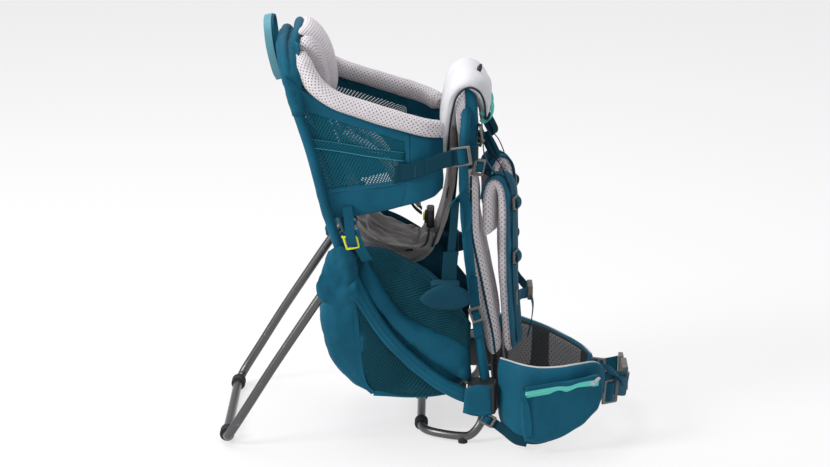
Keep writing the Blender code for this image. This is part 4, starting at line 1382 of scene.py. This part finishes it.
def make_front_pad():
    """The padded upright before the child: spacer mesh on its side, teal cloth on the wearer's."""
    core = closed_line([Vector((x, 0, z)) for x, z in (
        (0.082, 0.498), (0.080, 0.545), (0.079, 0.590), (0.084, 0.618), (0.096, 0.622), (0.107, 0.606),
        (0.111, 0.570), (0.110, 0.530), (0.106, 0.492), (0.096, 0.478))], 5)
    body = loft("front_pad_core", core, rounded_stations(0.086, 0.010, 0.72))
    soften(body)
    ruffle(body, 0.0014, (30, 14, 26), 4)
    dress(body, "teal_cloth", "frame", ["back_top_panel"])
    lining = closed_line([Vector((x, 0, z)) for x, z in (
        (0.0790, 0.492), (0.0750, 0.540), (0.0705, 0.585), (0.0740, 0.612), (0.0850, 0.6235), (0.0890, 0.600),
        (0.0885, 0.545), (0.0870, 0.490))], 5)
    mesh = loft("front_pad_lining", lining, rounded_stations(0.0885, 0.009, 0.75))
    soften(mesh)
    dress(mesh, "fine_spacer")
    line = smooth([(0.040, 0, 0.332), (0.060, 0, 0.400), (0.069, 0, 0.460), (0.0735, 0, 0.520),
                   (0.0745, 0, 0.560)], 8)

    def apron(u, v):
        across = 2 * v - 1
        half = 0.062 + 0.012 * ease(u * 1.4)
        return along(line, u) + Vector((-0.010 * abs(across) ** 3, half * across, 0))

    pad("front_apron", apron, 0.008, "taupe_satin", replaces=["front_panel"], counts=(34, 26),
        sharpness=(10, 8),
        wrinkles=(0.0026, (30, 26, 22), 9))
    for label, edge in EDGES:
        piping(f"apron_piping_{label}", [apron(u, 0.02 + 0.96 * edge) for u in even(24)], 0.0021)


def make_chin_pad():
    profile = smooth([
        (0.0555, 0, 0.503), (0.0585, 0, 0.550), (0.0640, 0, 0.596), (0.0725, 0, 0.625), (0.0900, 0, 0.6395),
        (0.1080, 0, 0.634), (0.1190, 0, 0.613), (0.1225, 0, 0.578),
    ], 8)
    half_widths = [0.062, 0.080, 0.089, 0.092, 0.092, 0.090, 0.082, 0.066]

    def fleece(u, v):
        across = 2 * v - 1
        droop = Vector((0, 0, -0.010)) * abs(across) ** 4
        return along(profile, u) + Vector((0, blend_values(half_widths, u) * across, 0)) + droop

    pad("chin_fleece", fleece, 0.022, "fleece", "chin_pad", 0.6, ["chin_pad"], (0.0022, (26, 18, 24), 21),
        (3.0, 0.004), counts=(50, 34), sharpness=(8, 7))
    for label, edge in EDGES:
        line = [fleece(u, edge) + Vector((0.0015, 0, -0.0030)) for u in even(34)]
        piping(f"chin_piping_{label}", line, 0.0018, body="chin_pad")
    cord_lock("chin_toggle", (0.1130, -0.030, 0.6480), (0.35, 0, 1), "chin_pad", size=0.8)


PAD_LINE = [
    (0.0985, -0.088, 0.480), (0.0985, -0.088, 0.440), (0.0990, -0.088, 0.400), (0.102, -0.088, 0.362),
    (0.115, -0.088, 0.300), (0.126, -0.088, 0.245), (0.138, -0.088, 0.188), (0.143, -0.088, 0.150),
]


def make_back_pad(name, side):
    line = smooth(on_side(PAD_LINE, side), 8)
    pad(f"back_roll_{name}", ribbon(line, (0.12, 1, 0), 0.054), 0.026, "grey_spacer",
        replaces=[f"back_pad_{name}"], counts=(60, 18), sharpness=(22, 3.2), offset=0.0,
        wrinkles=(0.0012, (22, 22, 16), 6), air=(2.0, 0.002))
    edge = [p + Vector((0, side * 0.0275, 0)) for p in line]
    piping(f"back_roll_piping_{name}", edge[1:-1], 0.0019, "teal_piping")


def make_lumbar():
    def cushion_face(u, v):
        across = 2 * v - 1
        taper = 1 - 0.12 * abs(2 * u - 1) ** 3
        return Vector((0.148 - 0.004 * across * across, 0.108 * across * taper, 0.036 + 0.112 * u))

    def channels(u, v):
        return 1 - 0.6 * math.exp(-(((v - 0.5) / 0.05) ** 2))

    pad("lumbar_cushion", cushion_face, 0.022, "black_spacer", replaces=["lumbar_pad"], counts=(26, 40),
        sharpness=(5, 7), relief=channels, air=(2.5, 0.003))
    for name, side in SIDES:
        shape = patch([(0.024, 0.052), (0.060, 0.046), (0.092, 0.052)],
                      [(0.022, 0.132), (0.058, 0.138), (0.090, 0.130)])

        def island(u, v):
            y, z = shape(u, v)
            return Vector((0.1575, side * y, z))

        pad(f"lumbar_mesh_{name}", island, 0.010, "dark_spacer", counts=(18, 18), sharpness=(4, 4))


make_front_pad()
make_chin_pad()
make_lumbar()
for side_name, side in SIDES:
    make_back_pad(side_name, side)


# ------------------------------------------------------------------ compression straps and hooks


def make_compression(name, side):
    points = [(-0.027, -0.1415, 0.487), (0.000, -0.1475, 0.493), (0.020, -0.1515, 0.500),
              (0.045, -0.1530, 0.511),
              (0.066, -0.1525, 0.517), (0.084, -0.1515, 0.519)]
    strap(f"side_strap_{name}", on_side(points, side), (0.0, 0, 1), 0.028, "dark_webbing",
          replaces=[f"compression_strap_{name}"])
    lap = [flip((x, y - 0.0024, z), side) for x, y, z in points[2:5]]
    strap(f"side_strap_lap_{name}", lap, (0, 0, 1), 0.0275, "dark_webbing")
    anchor = [flip((x, -0.1425, z), side) for x, z in ((-0.034, 0.484), (-0.014, 0.491))]
    strap(f"side_strap_anchor_{name}", anchor, (0.1, 0, 1), 0.031, "dark_webbing", spans=4)
    stitches(f"side_strap_stitches_{name}", [flip((0.0012 + 0.0002 * i, -0.1500, 0.482 + 0.0026 * i), side)
                                             for i in range(10)])
    ladder_lock(f"side_lock_{name}", flip((0.0815, -0.150, 0.519), side), (1, 0, 0.15), (0, side, 0), 0.033,
                0.034,
                replaces=[f"compression_buckle_{name}"])
    tail = [(0.070, -0.148, 0.517), (0.092, -0.149, 0.521), (0.106, -0.140, 0.522), (0.110, -0.118, 0.520)]
    strap(f"side_strap_tail_{name}", on_side(tail, side), (0, 0, 1), 0.026, "dark_webbing")


def make_hook(name, side):
    """The yellow ring that hangs from a doubled strap at the foot of the cockpit wall."""
    ring = [(-0.1225, 0.3800), (-0.1210, 0.3790), (-0.1155, 0.3600), (-0.1140, 0.3590), (-0.0965, 0.3625),
            (-0.0955, 0.3645), (-0.0990, 0.3795), (-0.1005, 0.3810)]
    piece = hoop(f"hook_ring_{name}", [(x, side * 0.170, z) for x, z in ring], 0.0021)
    dress(piece, "yellow_plastic", "frame", [f"side_hook_{name}"])
    hanger = [(-0.116, -0.1400, 0.428), (-0.113, -0.1540, 0.412), (-0.111, -0.1660, 0.398),
              (-0.1090, -0.1722, 0.380), (-0.1060, -0.1735, 0.366)]
    strap(f"hook_hanger_{name}", on_side(hanger, side), (1, 0, 0.1), 0.0170)
    tail = [(-0.104, -0.1680, 0.392), (-0.098, -0.1700, 0.372), (-0.088, -0.1710, 0.352),
            (-0.080, -0.1700, 0.338)]
    strap(f"hook_tail_{name}", on_side(tail, side), (1, 0, 0.25), 0.0185)
    keeper = [(-0.1175, -0.1600, 0.404), (-0.0985, -0.1610, 0.404)]
    strap(f"hook_keeper_{name}", on_side(keeper, side), (0, -side * 0.3, 1), 0.008, spans=4)


for side_name, side in SIDES:
    make_compression(side_name, side)
    make_hook(side_name, side)


# ------------------------------------------------------------------ hip belt

FIN_RAILS = {
    "right": (
        [(0.150, -0.1300, 0.045), (0.163, -0.157, 0.024), (0.185, -0.180, 0.014), (0.215, -0.190, 0.012),
         (0.250, -0.191, 0.024), (0.285, -0.183, 0.042), (0.312, -0.168, 0.062), (0.330, -0.148, 0.086)],
        [(0.150, -0.1300, 0.150), (0.165, -0.156, 0.153), (0.187, -0.178, 0.153), (0.217, -0.188, 0.151),
         (0.252, -0.190, 0.153), (0.287, -0.182, 0.156), (0.315, -0.166, 0.154), (0.333, -0.146, 0.136)],
    ),
    "left": (
        [(0.150, 0.1300, 0.045), (0.163, 0.142, 0.024), (0.185, 0.146, 0.012), (0.215, 0.146, 0.010),
         (0.250, 0.142, 0.010), (0.285, 0.130, 0.012), (0.308, 0.115, 0.018), (0.324, 0.096, 0.032)],
        [(0.150, 0.1310, 0.150), (0.165, 0.160, 0.142), (0.187, 0.195, 0.128), (0.217, 0.2115, 0.113),
         (0.252, 0.2105, 0.099), (0.287, 0.188, 0.087), (0.312, 0.160, 0.079), (0.328, 0.132, 0.070)],
    ),
}
POCKET_OUT, POCKET_LEAN = 0.2040, math.tan(math.radians(9))
ZIP_SLOPE = 0.1316


def make_fin(name, side):
    body = f"hip_belt_{name}"
    low, high = (smooth(rail, 8) for rail in FIN_RAILS[name])

    def fin(u, v):
        return along(low, u).lerp(along(high, u), v)

    pad(f"fin_{name}", fin, 0.018, "teal_cloth", body, 0.7, [f"hip_fin_{name}"], (0.0018, (20, 20, 24), 8),
        counts=(54, 24), sharpness=(10, 5))
    pad(f"fin_lining_{name}", lambda u, v: fin(0.03 + 0.93 * u, 0.06 + 0.88 * v), 0.008, "black_spacer", body,
        counts=(44, 20), sharpness=(8, 6), offset=side * 0.0068)
    for number, (start, end) in enumerate(((0.14, 0.42), (0.56, 0.88))):
        pad(f"fin_mesh_{name}_{number}", lambda u, v: fin(start + (end - start) * u, 0.26 + 0.62 * v), 0.010,
            "dark_spacer", body, counts=(18, 16), sharpness=(3.4, 3.4), offset=side * 0.0095)
    for label, edge, finish in (("top", 1.0, "pale_piping"), ("under", 0.0, "teal_webbing")):
        piping(f"fin_piping_{label}_{name}", [fin(0.02 + 0.96 * u, edge) for u in even(50)], 0.0019, finish,
               body)


def pocket_point(x, z, lift=0.0):
    return Vector((x, -POCKET_OUT + (x - 0.255) * POCKET_LEAN - lift, z))


def zip_height(x):
    return 0.128 + (x - 0.310) * ZIP_SLOPE - 0.0034 * math.exp(-(((x - 0.268) / 0.012) ** 2))


def make_pocket():
    shape = patch(
        [(0.192, 0.022), (0.224, 0.019), (0.262, 0.032), (0.294, 0.050), (0.320, 0.076)],
        [(0.188, 0.122), (0.230, 0.127), (0.275, 0.133), (0.322, 0.142)],
        left=[(0.192, 0.022), (0.186, 0.060), (0.188, 0.122)],
        right=[(0.320, 0.076), (0.330, 0.108), (0.322, 0.142)],
    )
    pad("pocket_face", lambda u, v: pocket_point(*shape(u, v)), 0.018, "teal_cloth", "hip_belt_right", 0.5,
        ["hip_pocket"], counts=(50, 34), sharpness=(6, 4.5), wrinkles=(0.0028, (22, 20, 30), 13))
    fold = [pocket_point(x, z, 0.0088) for x,
            z in ((0.190, 0.108), (0.200, 0.080), (0.205, 0.050), (0.202, 0.030))]
    piping("pocket_seam", smooth(fold, 6), 0.0011, "teal_piping", "hip_belt_right")
    gusset = [pocket_point(x, z, -0.009) for x, z in (
        (0.192, 0.118), (0.188, 0.075), (0.196, 0.026), (0.228, 0.022), (0.265, 0.036), (0.297, 0.054),
        (0.321, 0.080))]
    edge = [pocket_point(x, z, 0.0096) for x,
            z in ((0.187, 0.112), (0.195, 0.092), (0.200, 0.060), (0.200, 0.034))]
    strap("pocket_edge", edge, (1, 0, 0.2), 0.010, "teal_cloth", "hip_belt_right")
    strap("pocket_gusset", gusset, (0, 1, 0), 0.016, "teal_shade", "hip_belt_right")
    xs = [0.193 + 0.128 * i / 30 for i in range(31)]
    flap = [pocket_point(x, zip_height(x) + 0.0090, 0.0098) for x in xs]
    strap("zip_flap", flap, (0.1, -0.3, 1), 0.010, "teal_cloth", "hip_belt_right", spans=1)
    tape = [pocket_point(x, zip_height(x) - 0.0005, 0.0086) for x in xs]
    strap("zip_tape", tape, (0.1, -0.2, 1), 0.0125, "mint_webbing", "hip_belt_right", thickness=0.0012,
          spans=1)
    coil = [pocket_point(x, zip_height(x), 0.0094) for x in xs]
    dress(rod("zip_coil", coil, 0.0014, UP, 10), "mint_webbing", "hip_belt_right")
    slider = add_block("zip_body", (0.0100, 0.0070, 0.0040), 0.0012)
    put(slider, (0.310, -0.2035, 0.128), (1, POCKET_LEAN, ZIP_SLOPE), (POCKET_LEAN, -1, 0))
    dress(slider, "steel", "zip_slider", ["zip_slider"])
    tab = add_slotted_plate("zip_tab", [0.002, 0.0030, 0.002, 0.0001, 0.009], [0.0016, 0.0026, 0.0016],
                            0.0014, 0.0004)
    put(tab, (0.3165, -0.2048, 0.1335), (0.8, 0.1, 0.75), (POCKET_LEAN, -1, 0))
    dress(tab, "steel", "zip_slider")


def socket_buckle(name, centre, forward, normal, size, body, replaces):
    """The female half of a side-release buckle: a rounded shell with a recessed face and a cheek on each
    side.
    """
    length, width, depth = size
    shell = add_block(name, (length, width, depth), min(depth, length) * 0.22, 4)
    add_recess(shell, (0, 0, 1), width * 0.14, 0.0009)
    cheeks = []
    for way in (-1, 1):
        cheek = add_block(name + "_cheek", (length * 0.44, 0.0016, depth * 0.62), 0.0006)
        cheek.data.transform(Matrix.Translation((length * 0.10, way * width * 0.497, 0)))
        cheeks.append(cheek)
    join_pieces(shell, *cheeks)
    put(shell, centre, forward, normal)
    return dress(shell, "buckle", body, replaces)


def make_belt_front():
    strap("belt_webbing_right", [(0.330, -0.146, 0.110), (0.345, -0.128, 0.106), (0.358, -0.106, 0.099),
                                 (0.374, -0.070, 0.088), (0.381, -0.022, 0.079)], (0, 0, 1), 0.038,
          body="hip_belt_right", replaces=["waist_webbing_right"])
    strap("belt_webbing_loop", [(0.352, -0.126, 0.100), (0.366, -0.106, 0.090), (0.378, -0.074, 0.080),
                                (0.3825, -0.030, 0.074)], (0.15, 0, 1), 0.036, body="hip_belt_right")
    strap("belt_webbing_tail", [(0.3350, -0.152, 0.138), (0.347, -0.142, 0.131), (0.357, -0.130, 0.120),
                                (0.362, -0.120, 0.104)], (-0.75, 0, 1), 0.024, body="hip_belt_right")
    ladder_lock("belt_adjuster_right", (0.3450, -0.1290, 0.0880), (0.72, 0.69, -0.10), (0.69, -0.72, 0),
                0.036, 0.044,
                "hip_belt_right")
    strap("belt_webbing_left", [(0.324, 0.116, 0.050), (0.340, 0.110, 0.053), (0.354, 0.102, 0.058),
                                (0.372, 0.090, 0.066)], (0, 0, 1), 0.034, body="hip_belt_left",
          replaces=["waist_webbing_left"])
    ladder_lock("belt_adjuster_left", (0.3400, 0.1110, 0.0520), (0.80, -0.60, 0.1), (0.60, 0.80, 0), 0.032,
                0.040,
                "hip_belt_left")
    socket_buckle("belt_socket", (0.379, 0.0085, 0.075), (0, 1, 0), (1, 0, 0), (0.058, 0.044, 0.011),
                  "hip_belt_right",
                  ["waist_buckle_socket"])
    plug = add_slotted_plate("belt_plug", [0.005, 0.007, 0.014], [0.006, 0.030, 0.006], 0.009, 0.0016)
    prongs = []
    for offset in (-0.014, 0.0, 0.014):
        prong = add_block("plug_prong", (0.032, 0.006, 0.004), 0.0014)
        prong.data.transform(Matrix.Translation((0.021, offset, 0)))
        prongs.append(prong)
    join_pieces(plug, *prongs)
    put(plug, (0.377, 0.075, 0.070), (0, -1, 0), (1, 0, 0))
    dress(plug, "buckle", "hip_belt_left", ["waist_buckle_plug"])


def make_stabiliser(name, side):
    """The short strap that draws the hip fin up to the hub."""
    ladder_lock(f"stabiliser_lock_{name}", flip((0.129, -0.1625, 0.0462), side), (0.8, 0, -0.45),
                (0, side, 0), 0.026,
                0.022)
    back = [(0.116, -0.165, 0.056), (0.128, -0.161, 0.047), (0.142, -0.1605, 0.038)]
    strap(f"stabiliser_back_{name}", on_side(back, side), (0.35, 0, 1), 0.018)
    fin_end = [(0.140, -0.1605, 0.040), (0.156, -0.168, 0.030), (0.178, -0.186, 0.018),
               (0.198, -0.196, 0.016)]
    if side > 0:
        fin_end = [(0.140, -0.1605, 0.040), (0.154, -0.162, 0.031), (0.174, -0.163, 0.023),
                   (0.190, -0.161, 0.020)]
    strap(f"stabiliser_strap_{name}", on_side(fin_end, side), (0.25, 0, 1), 0.017, "dark_webbing",
          bodies=("frame", f"hip_belt_{name}"), spans=10)


for side_name, side in SIDES:
    make_fin(side_name, side)
    make_stabiliser(side_name, side)
make_pocket()
make_belt_front()


# ------------------------------------------------------------------ shoulder harness

STRAP_EDGE = [  # the strap's outer edge, in X and Z
    (0.1240, 0.366), (0.1245, 0.400), (0.1245, 0.430), (0.1280, 0.450), (0.1375, 0.4600), (0.1475, 0.450),
    (0.1520, 0.420), (0.1530, 0.350), (0.1545, 0.280), (0.1610, 0.190), (0.1650, 0.155),
]
SPLAY = math.radians(20)


def strap_surface(side, inset=0.0):
    """The padded strap's middle surface, moved by inset along its normal."""
    across = Vector((math.sin(SPLAY), -side * math.cos(SPLAY), 0))
    outer = smooth([Vector((x, side * 0.106, z)) for x, z in STRAP_EDGE], 10)
    frames = directions(outer, across)
    raised = [p - turned * inset for p, (_, turned, _) in zip(outer, frames)]
    return lambda u, v: along(raised, u) + across * 0.056 * v


def make_shoulder_strap(name, side):
    body = "shoulder_harness"
    middle = strap_surface(side)
    pad(f"strap_mesh_{name}", middle, 0.020, "grey_spacer", body, 0.7, [f"shoulder_strap_{name}"],
        counts=(90, 18), sharpness=(26, 4), wrinkles=(0.0009, (24, 24, 18), 4))
    sign = 1 if strap_surface(side, 0.01)(0.38, 0.5).z > middle(0.38, 0.5).z else -1
    cover = strap_surface(side, sign * 0.0095)
    pad(f"strap_cover_{name}", lambda u, v: cover(0.20 + 0.79 * u, -0.03 + 1.06 * v), 0.0050, "teal_cloth",
        body,
        counts=(80, 14), sharpness=(26, 6), wrinkles=(0.0010, (24, 24, 26), 2))
    lifted = strap_surface(side, sign * 0.0130)
    run = [lifted(0.30 + 0.66 * u, 0.5) for u in even(50)]
    across = (math.sin(SPLAY), -side * math.cos(SPLAY), 0)
    strap(f"strap_webbing_{name}", run, across, 0.020, body=body, spans=1)
    for number, share in enumerate((0.60, 0.74)):
        at = strap_surface(side, sign * 0.0165)(share, 0.5)
        ahead = strap_surface(side, sign * 0.0165)(share + 0.03, 0.5) - at
        out = at - middle(share, 0.5)
        ladder_lock(f"strap_slider_{name}_{number}", at, ahead, out, 0.022, 0.026, body)
        loop = [at + out.normalized() * h + ahead.normalized() * d
                for h, d in ((0.0, -0.010), (0.006, -0.004), (0.006, 0.006), (0.0, 0.014))]
        strap(f"strap_slider_loop_{name}_{number}", loop, across, 0.019, body=body, spans=4)


def make_load_lifter(name, side):
    """The strap from the back panel's top to the shoulder strap's crest, with its tail and thin cord."""
    points = [(0.1120, -0.082, 0.560), (0.1180, -0.084, 0.535), (0.1220, -0.086, 0.505),
              (0.1340, -0.086, 0.482),
              (0.1500, -0.086, 0.464), (0.1620, -0.085, 0.440)]
    strap(f"load_lifter_{name}", on_side(points, side), (0, 1, 0), 0.018,
          bodies=("frame", "shoulder_harness"), spans=10)
    ladder_lock(f"load_lifter_lock_{name}", flip((0.1165, -0.085, 0.545), side), (0.15, 0, -1), (1, 0, 0.15),
                0.028,
                0.025)
    ladder_lock(f"yoke_lock_{name}", flip((0.1120, -0.1090, 0.490), side), (-0.25, 0, -1),
                (0.4, side * 0.9, 0), 0.030,
                0.022, "shoulder_harness")
    tail = [(0.1185, -0.086, 0.542), (0.1290, -0.088, 0.520), (0.1400, -0.090, 0.502),
            (0.1440, -0.090, 0.510),
            (0.1350, -0.088, 0.530), (0.1240, -0.086, 0.548)]
    strap(f"load_lifter_tail_{name}", on_side(tail, side), (0.7, 0.6 * side, 0.4), 0.012, "dark_webbing",
          bodies=("frame", "shoulder_harness"))
    cord = [(0.1300, -0.092, 0.512), (0.1500, -0.096, 0.490), (0.1640, -0.098, 0.450),
            (0.1680, -0.098, 0.400),
            (0.1690, -0.096, 0.350), (0.1720, -0.092, 0.310)]
    thin = rod(f"lifter_cord_{name}", smooth(on_side(cord, side), 8), 0.0010, (0, 1, 0), 8)
    dress_across(thin, "black_webbing")


def make_mint_loop():
    points = [(0.1190, -0.030, 0.606), (0.1290, -0.031, 0.597), (0.1360, -0.030, 0.580),
              (0.1330, -0.029, 0.560),
              (0.1240, -0.028, 0.552), (0.1160, -0.028, 0.556)]
    for name, side in SIDES:
        strap(f"hang_loop_{name}", on_side(points, side), (0.62, 0.55, 0.56), 0.0080, "mint_webbing")


def make_yoke():
    def plate(u, v):
        across = 2 * v - 1
        return Vector((0.142 + 0.003 * across * across, 0.050 * across * (1 - 0.15 * u), 0.370 + 0.056 * u))

    pad("yoke_plate", plate, 0.012, "teal_cloth", "shoulder_harness", 0.5, ["harness_yoke"], counts=(20, 28),
        sharpness=(5, 6))


CHEST_STRAP_Z = 0.246


def make_sternum():
    z = CHEST_STRAP_Z
    half = [(0.1835, -0.072, z), (0.1900, -0.045, z - 0.004), (0.1990, -0.023, z - 0.009)]
    strap("chest_strap", mirrored([*half, (0.2040, 0, z - 0.010)]), (0, 0, 1), 0.019, body="sternum_strap",
          replaces=["sternum_strap"])
    socket_buckle("chest_buckle", (0.2060, 0, z - 0.010), (0, 1, 0), (1, 0, 0), (0.044, 0.026, 0.010),
                  "sternum_strap", ["sternum_buckle"])
    for name, side in SIDES:
        ladder_lock(f"chest_slider_{name}", flip((0.1800, -0.076, z), side), (0.3, -side * 0.9, 0), (1, 0, 0),
                    0.020, 0.026, "sternum_strap")
    tail = [(0.2080, -0.020, z - 0.014), (0.2110, -0.032, z - 0.030), (0.2080, -0.040, z - 0.056),
            (0.2020, -0.042, z - 0.082)]
    strap("chest_tail", tail, (0.1, 1, 0.2), 0.016, body="sternum_strap")


for side_name, side in SIDES:
    make_shoulder_strap(side_name, side)
    make_load_lifter(side_name, side)
make_mint_loop()
make_yoke()
make_sternum()


# ------------------------------------------------------------------ footrests and child seat

FOOT_X, FOOT_Z = 0.054, 0.268


def make_footrest(name, side):
    body = f"footrest_{name}"
    centre = Vector((FOOT_X, side * 0.168, FOOT_Z + 0.008))

    def face(u, v):
        a, b = 2 * u - 1, 2 * v - 1
        x = a * math.sqrt(1 - b * b * 0.42)
        z = b * math.sqrt(1 - a * a * 0.48)
        narrow = 1 - 0.42 * max(0, -x) ** 1.6
        return centre + Vector((0.044 * x, side * 0.0145, 0.0225 * z * narrow - 0.003 * x * x))

    pad(f"foot_face_{name}", face, 0.013, "teal_shade", body, 0.5, [f"footrest_{name}"],
        (0.0014, (30, 20, 30), 3),
        counts=(30, 24), sharpness=(5, 5))
    around = [(0.0120, 0.020), (0.0, 0.0235), (-0.0130, 0.019), (-0.0160, 0.0), (-0.0130, -0.018),
              (0.0, -0.0225),
              (0.0120, -0.019)]
    line = smooth([centre + Vector((0, side * out, up)) for out, up in around], 6)
    pad(f"foot_loop_{name}", ribbon(line, (1, 0, 0), 0.050), 0.006, "teal_shade", body, 0.5, counts=(40, 10),
        sharpness=(20, 5))
    hang = [(0.061, -0.1620, 0.297), (0.062, -0.1560, 0.325), (0.0655, -0.1490, 0.360),
            (0.069, -0.1450, 0.400),
            (0.0715, -0.1425, 0.440)]
    strap(f"foot_web_{name}", on_side(hang, side), (1, 0, 0.1), 0.014, "dark_webbing",
          replaces=[f"footrest_webbing_{name}"], bodies=("frame", body),
          spans=10)
    wide = [(0.061, -0.1650, 0.294), (0.0615, -0.1600, 0.318), (0.064, -0.1530, 0.350)]
    strap(f"foot_band_{name}", on_side(wide, side), (1, 0, 0.05), 0.026, "dark_webbing", body)
    over = [(0.066, -0.1480, 0.436), (0.079, -0.1420, 0.448), (0.090, -0.1350, 0.430),
            (0.094, -0.1370, 0.400),
            (0.090, -0.1420, 0.380)]
    strap(f"foot_hanger_{name}", on_side(over, side), (0.6, 0, 0.7), 0.020)
    ladder_lock(f"foot_lock_{name}", flip((0.1080, -0.1480, 0.2350), side), (-0.35, 0, 1), (0, side, 0),
                0.028, 0.022)
    run = [(0.1020, -0.1400, 0.300), (0.1060, -0.1470, 0.262), (0.1090, -0.1470, 0.225),
           (0.1130, -0.1450, 0.190)]
    strap(f"side_stay_web_{name}", on_side(run, side), (1, 0, 0.3), 0.016)


def make_seat():
    line = smooth([(-0.106, 0, 0.374), (-0.090, 0, 0.338), (-0.052, 0, 0.313), (-0.010, 0, 0.304),
                   (0.018, 0, 0.316),
                   (0.026, 0, 0.348)], 8)

    def saddle(u, v):
        across = 2 * v - 1
        half = 0.070 - 0.018 * math.sin(math.pi * u)
        return along(line, u) + Vector((0, half * across, 0.020 * abs(across) ** 2.2))

    pad("saddle", saddle, 0.024, "taupe_satin", "child_seat", 0.5, ["child_seat"], (0.0042, (38, 30, 20), 17),
        (3.0, 0.005), counts=(48, 34), sharpness=(7, 6))
    for label, edge in EDGES:
        piping(f"saddle_piping_{label}", [saddle(u, edge) for u in even(30)], 0.0019, body="child_seat")


def make_seat_bucket():
    """The satin slope that carries the seat from the back panel down to the saddle."""
    line = smooth([(-0.126, 0, 0.412), (-0.110, 0, 0.378), (-0.084, 0, 0.346), (-0.046, 0, 0.326),
                   (0.004, 0, 0.318)], 8)
    half_widths = [0.112, 0.108, 0.098, 0.082, 0.066]

    def slope(u, v):
        across = 2 * v - 1
        return along(line, u) + Vector((0.004 * across, blend_values(half_widths, u) * across,
                                        0.030 * abs(across) ** 2.4 * (1 - 0.5 * u)))

    pad("seat_slope", slope, 0.008, "taupe_satin", "child_seat", 0.3, (), (0.0058, (24, 52, 24), 19),
        counts=(46, 46), sharpness=(9, 9))


HARNESS_HALF = [
    (-0.150, -0.046, 0.548), (-0.110, -0.048, 0.528), (-0.065, -0.046, 0.500), (-0.040, -0.042, 0.462),
    (-0.018, -0.034, 0.424), (-0.001, -0.024, 0.396), (0.012, -0.0160, 0.382),
]


def make_child_harness():
    body = "child_seat"
    for name, side in SIDES:
        line = on_side(HARNESS_HALF, side)
        strap(f"child_strap_{name}", line, (0, 1, 0), 0.018, "black_webbing", body,
              replaces=["child_harness"] if side < 0 else ())
        run = smooth(line, 8)
        start, end = len(run) * 12 // 100, len(run) * 66 // 100
        pad(f"child_strap_pad_{name}", ribbon(run[start:end], (0, 1, 0), 0.040), 0.012, "fine_spacer", body,
            counts=(34, 12), sharpness=(16, 4))
        ladder_lock(f"child_lock_{name}", flip((0.001, -0.029, 0.408), side), (0.62, 0, -0.78),
                    (0.78, 0, 0.62), 0.022,
                    0.022, body)
    block = add_block("harness_clasp", (0.034, 0.040, 0.014), 0.0040, 4)
    put(block, (0.0275, 0, 0.372), (0, 0, 1), (1, 0, 0))
    ring = add_turned("clasp_ring", [(0.0082, -0.002), (0.0118, -0.002), (0.0122, 0.0004), (0.0112, 0.0020),
                                     (0.0086, 0.0022), (0.0080, 0.0006)], 36)
    put(ring, (0.0195, 0, 0.372), (0, 0, 1), (-1, 0, 0))
    dress(join_pieces(block, ring), "black_plastic", body, ["harness_buckle"])
    button = add_turned("clasp_button",
                        [(0.0066, -0.0035), (0.0074, -0.0030), (0.0074, 0.0026), (0.0066, 0.0034),
                                         (0.0030, 0.0030), (0.0010, 0.0026)], 32)
    put(button, (0.0180, 0, 0.372), (0, 0, 1), (-1, 0, 0))
    dress(button, "yellow_plastic", "harness_button", ["harness_button"])


for side_name, side in SIDES:
    make_footrest(side_name, side)
make_seat()
make_seat_bucket()
make_child_harness()
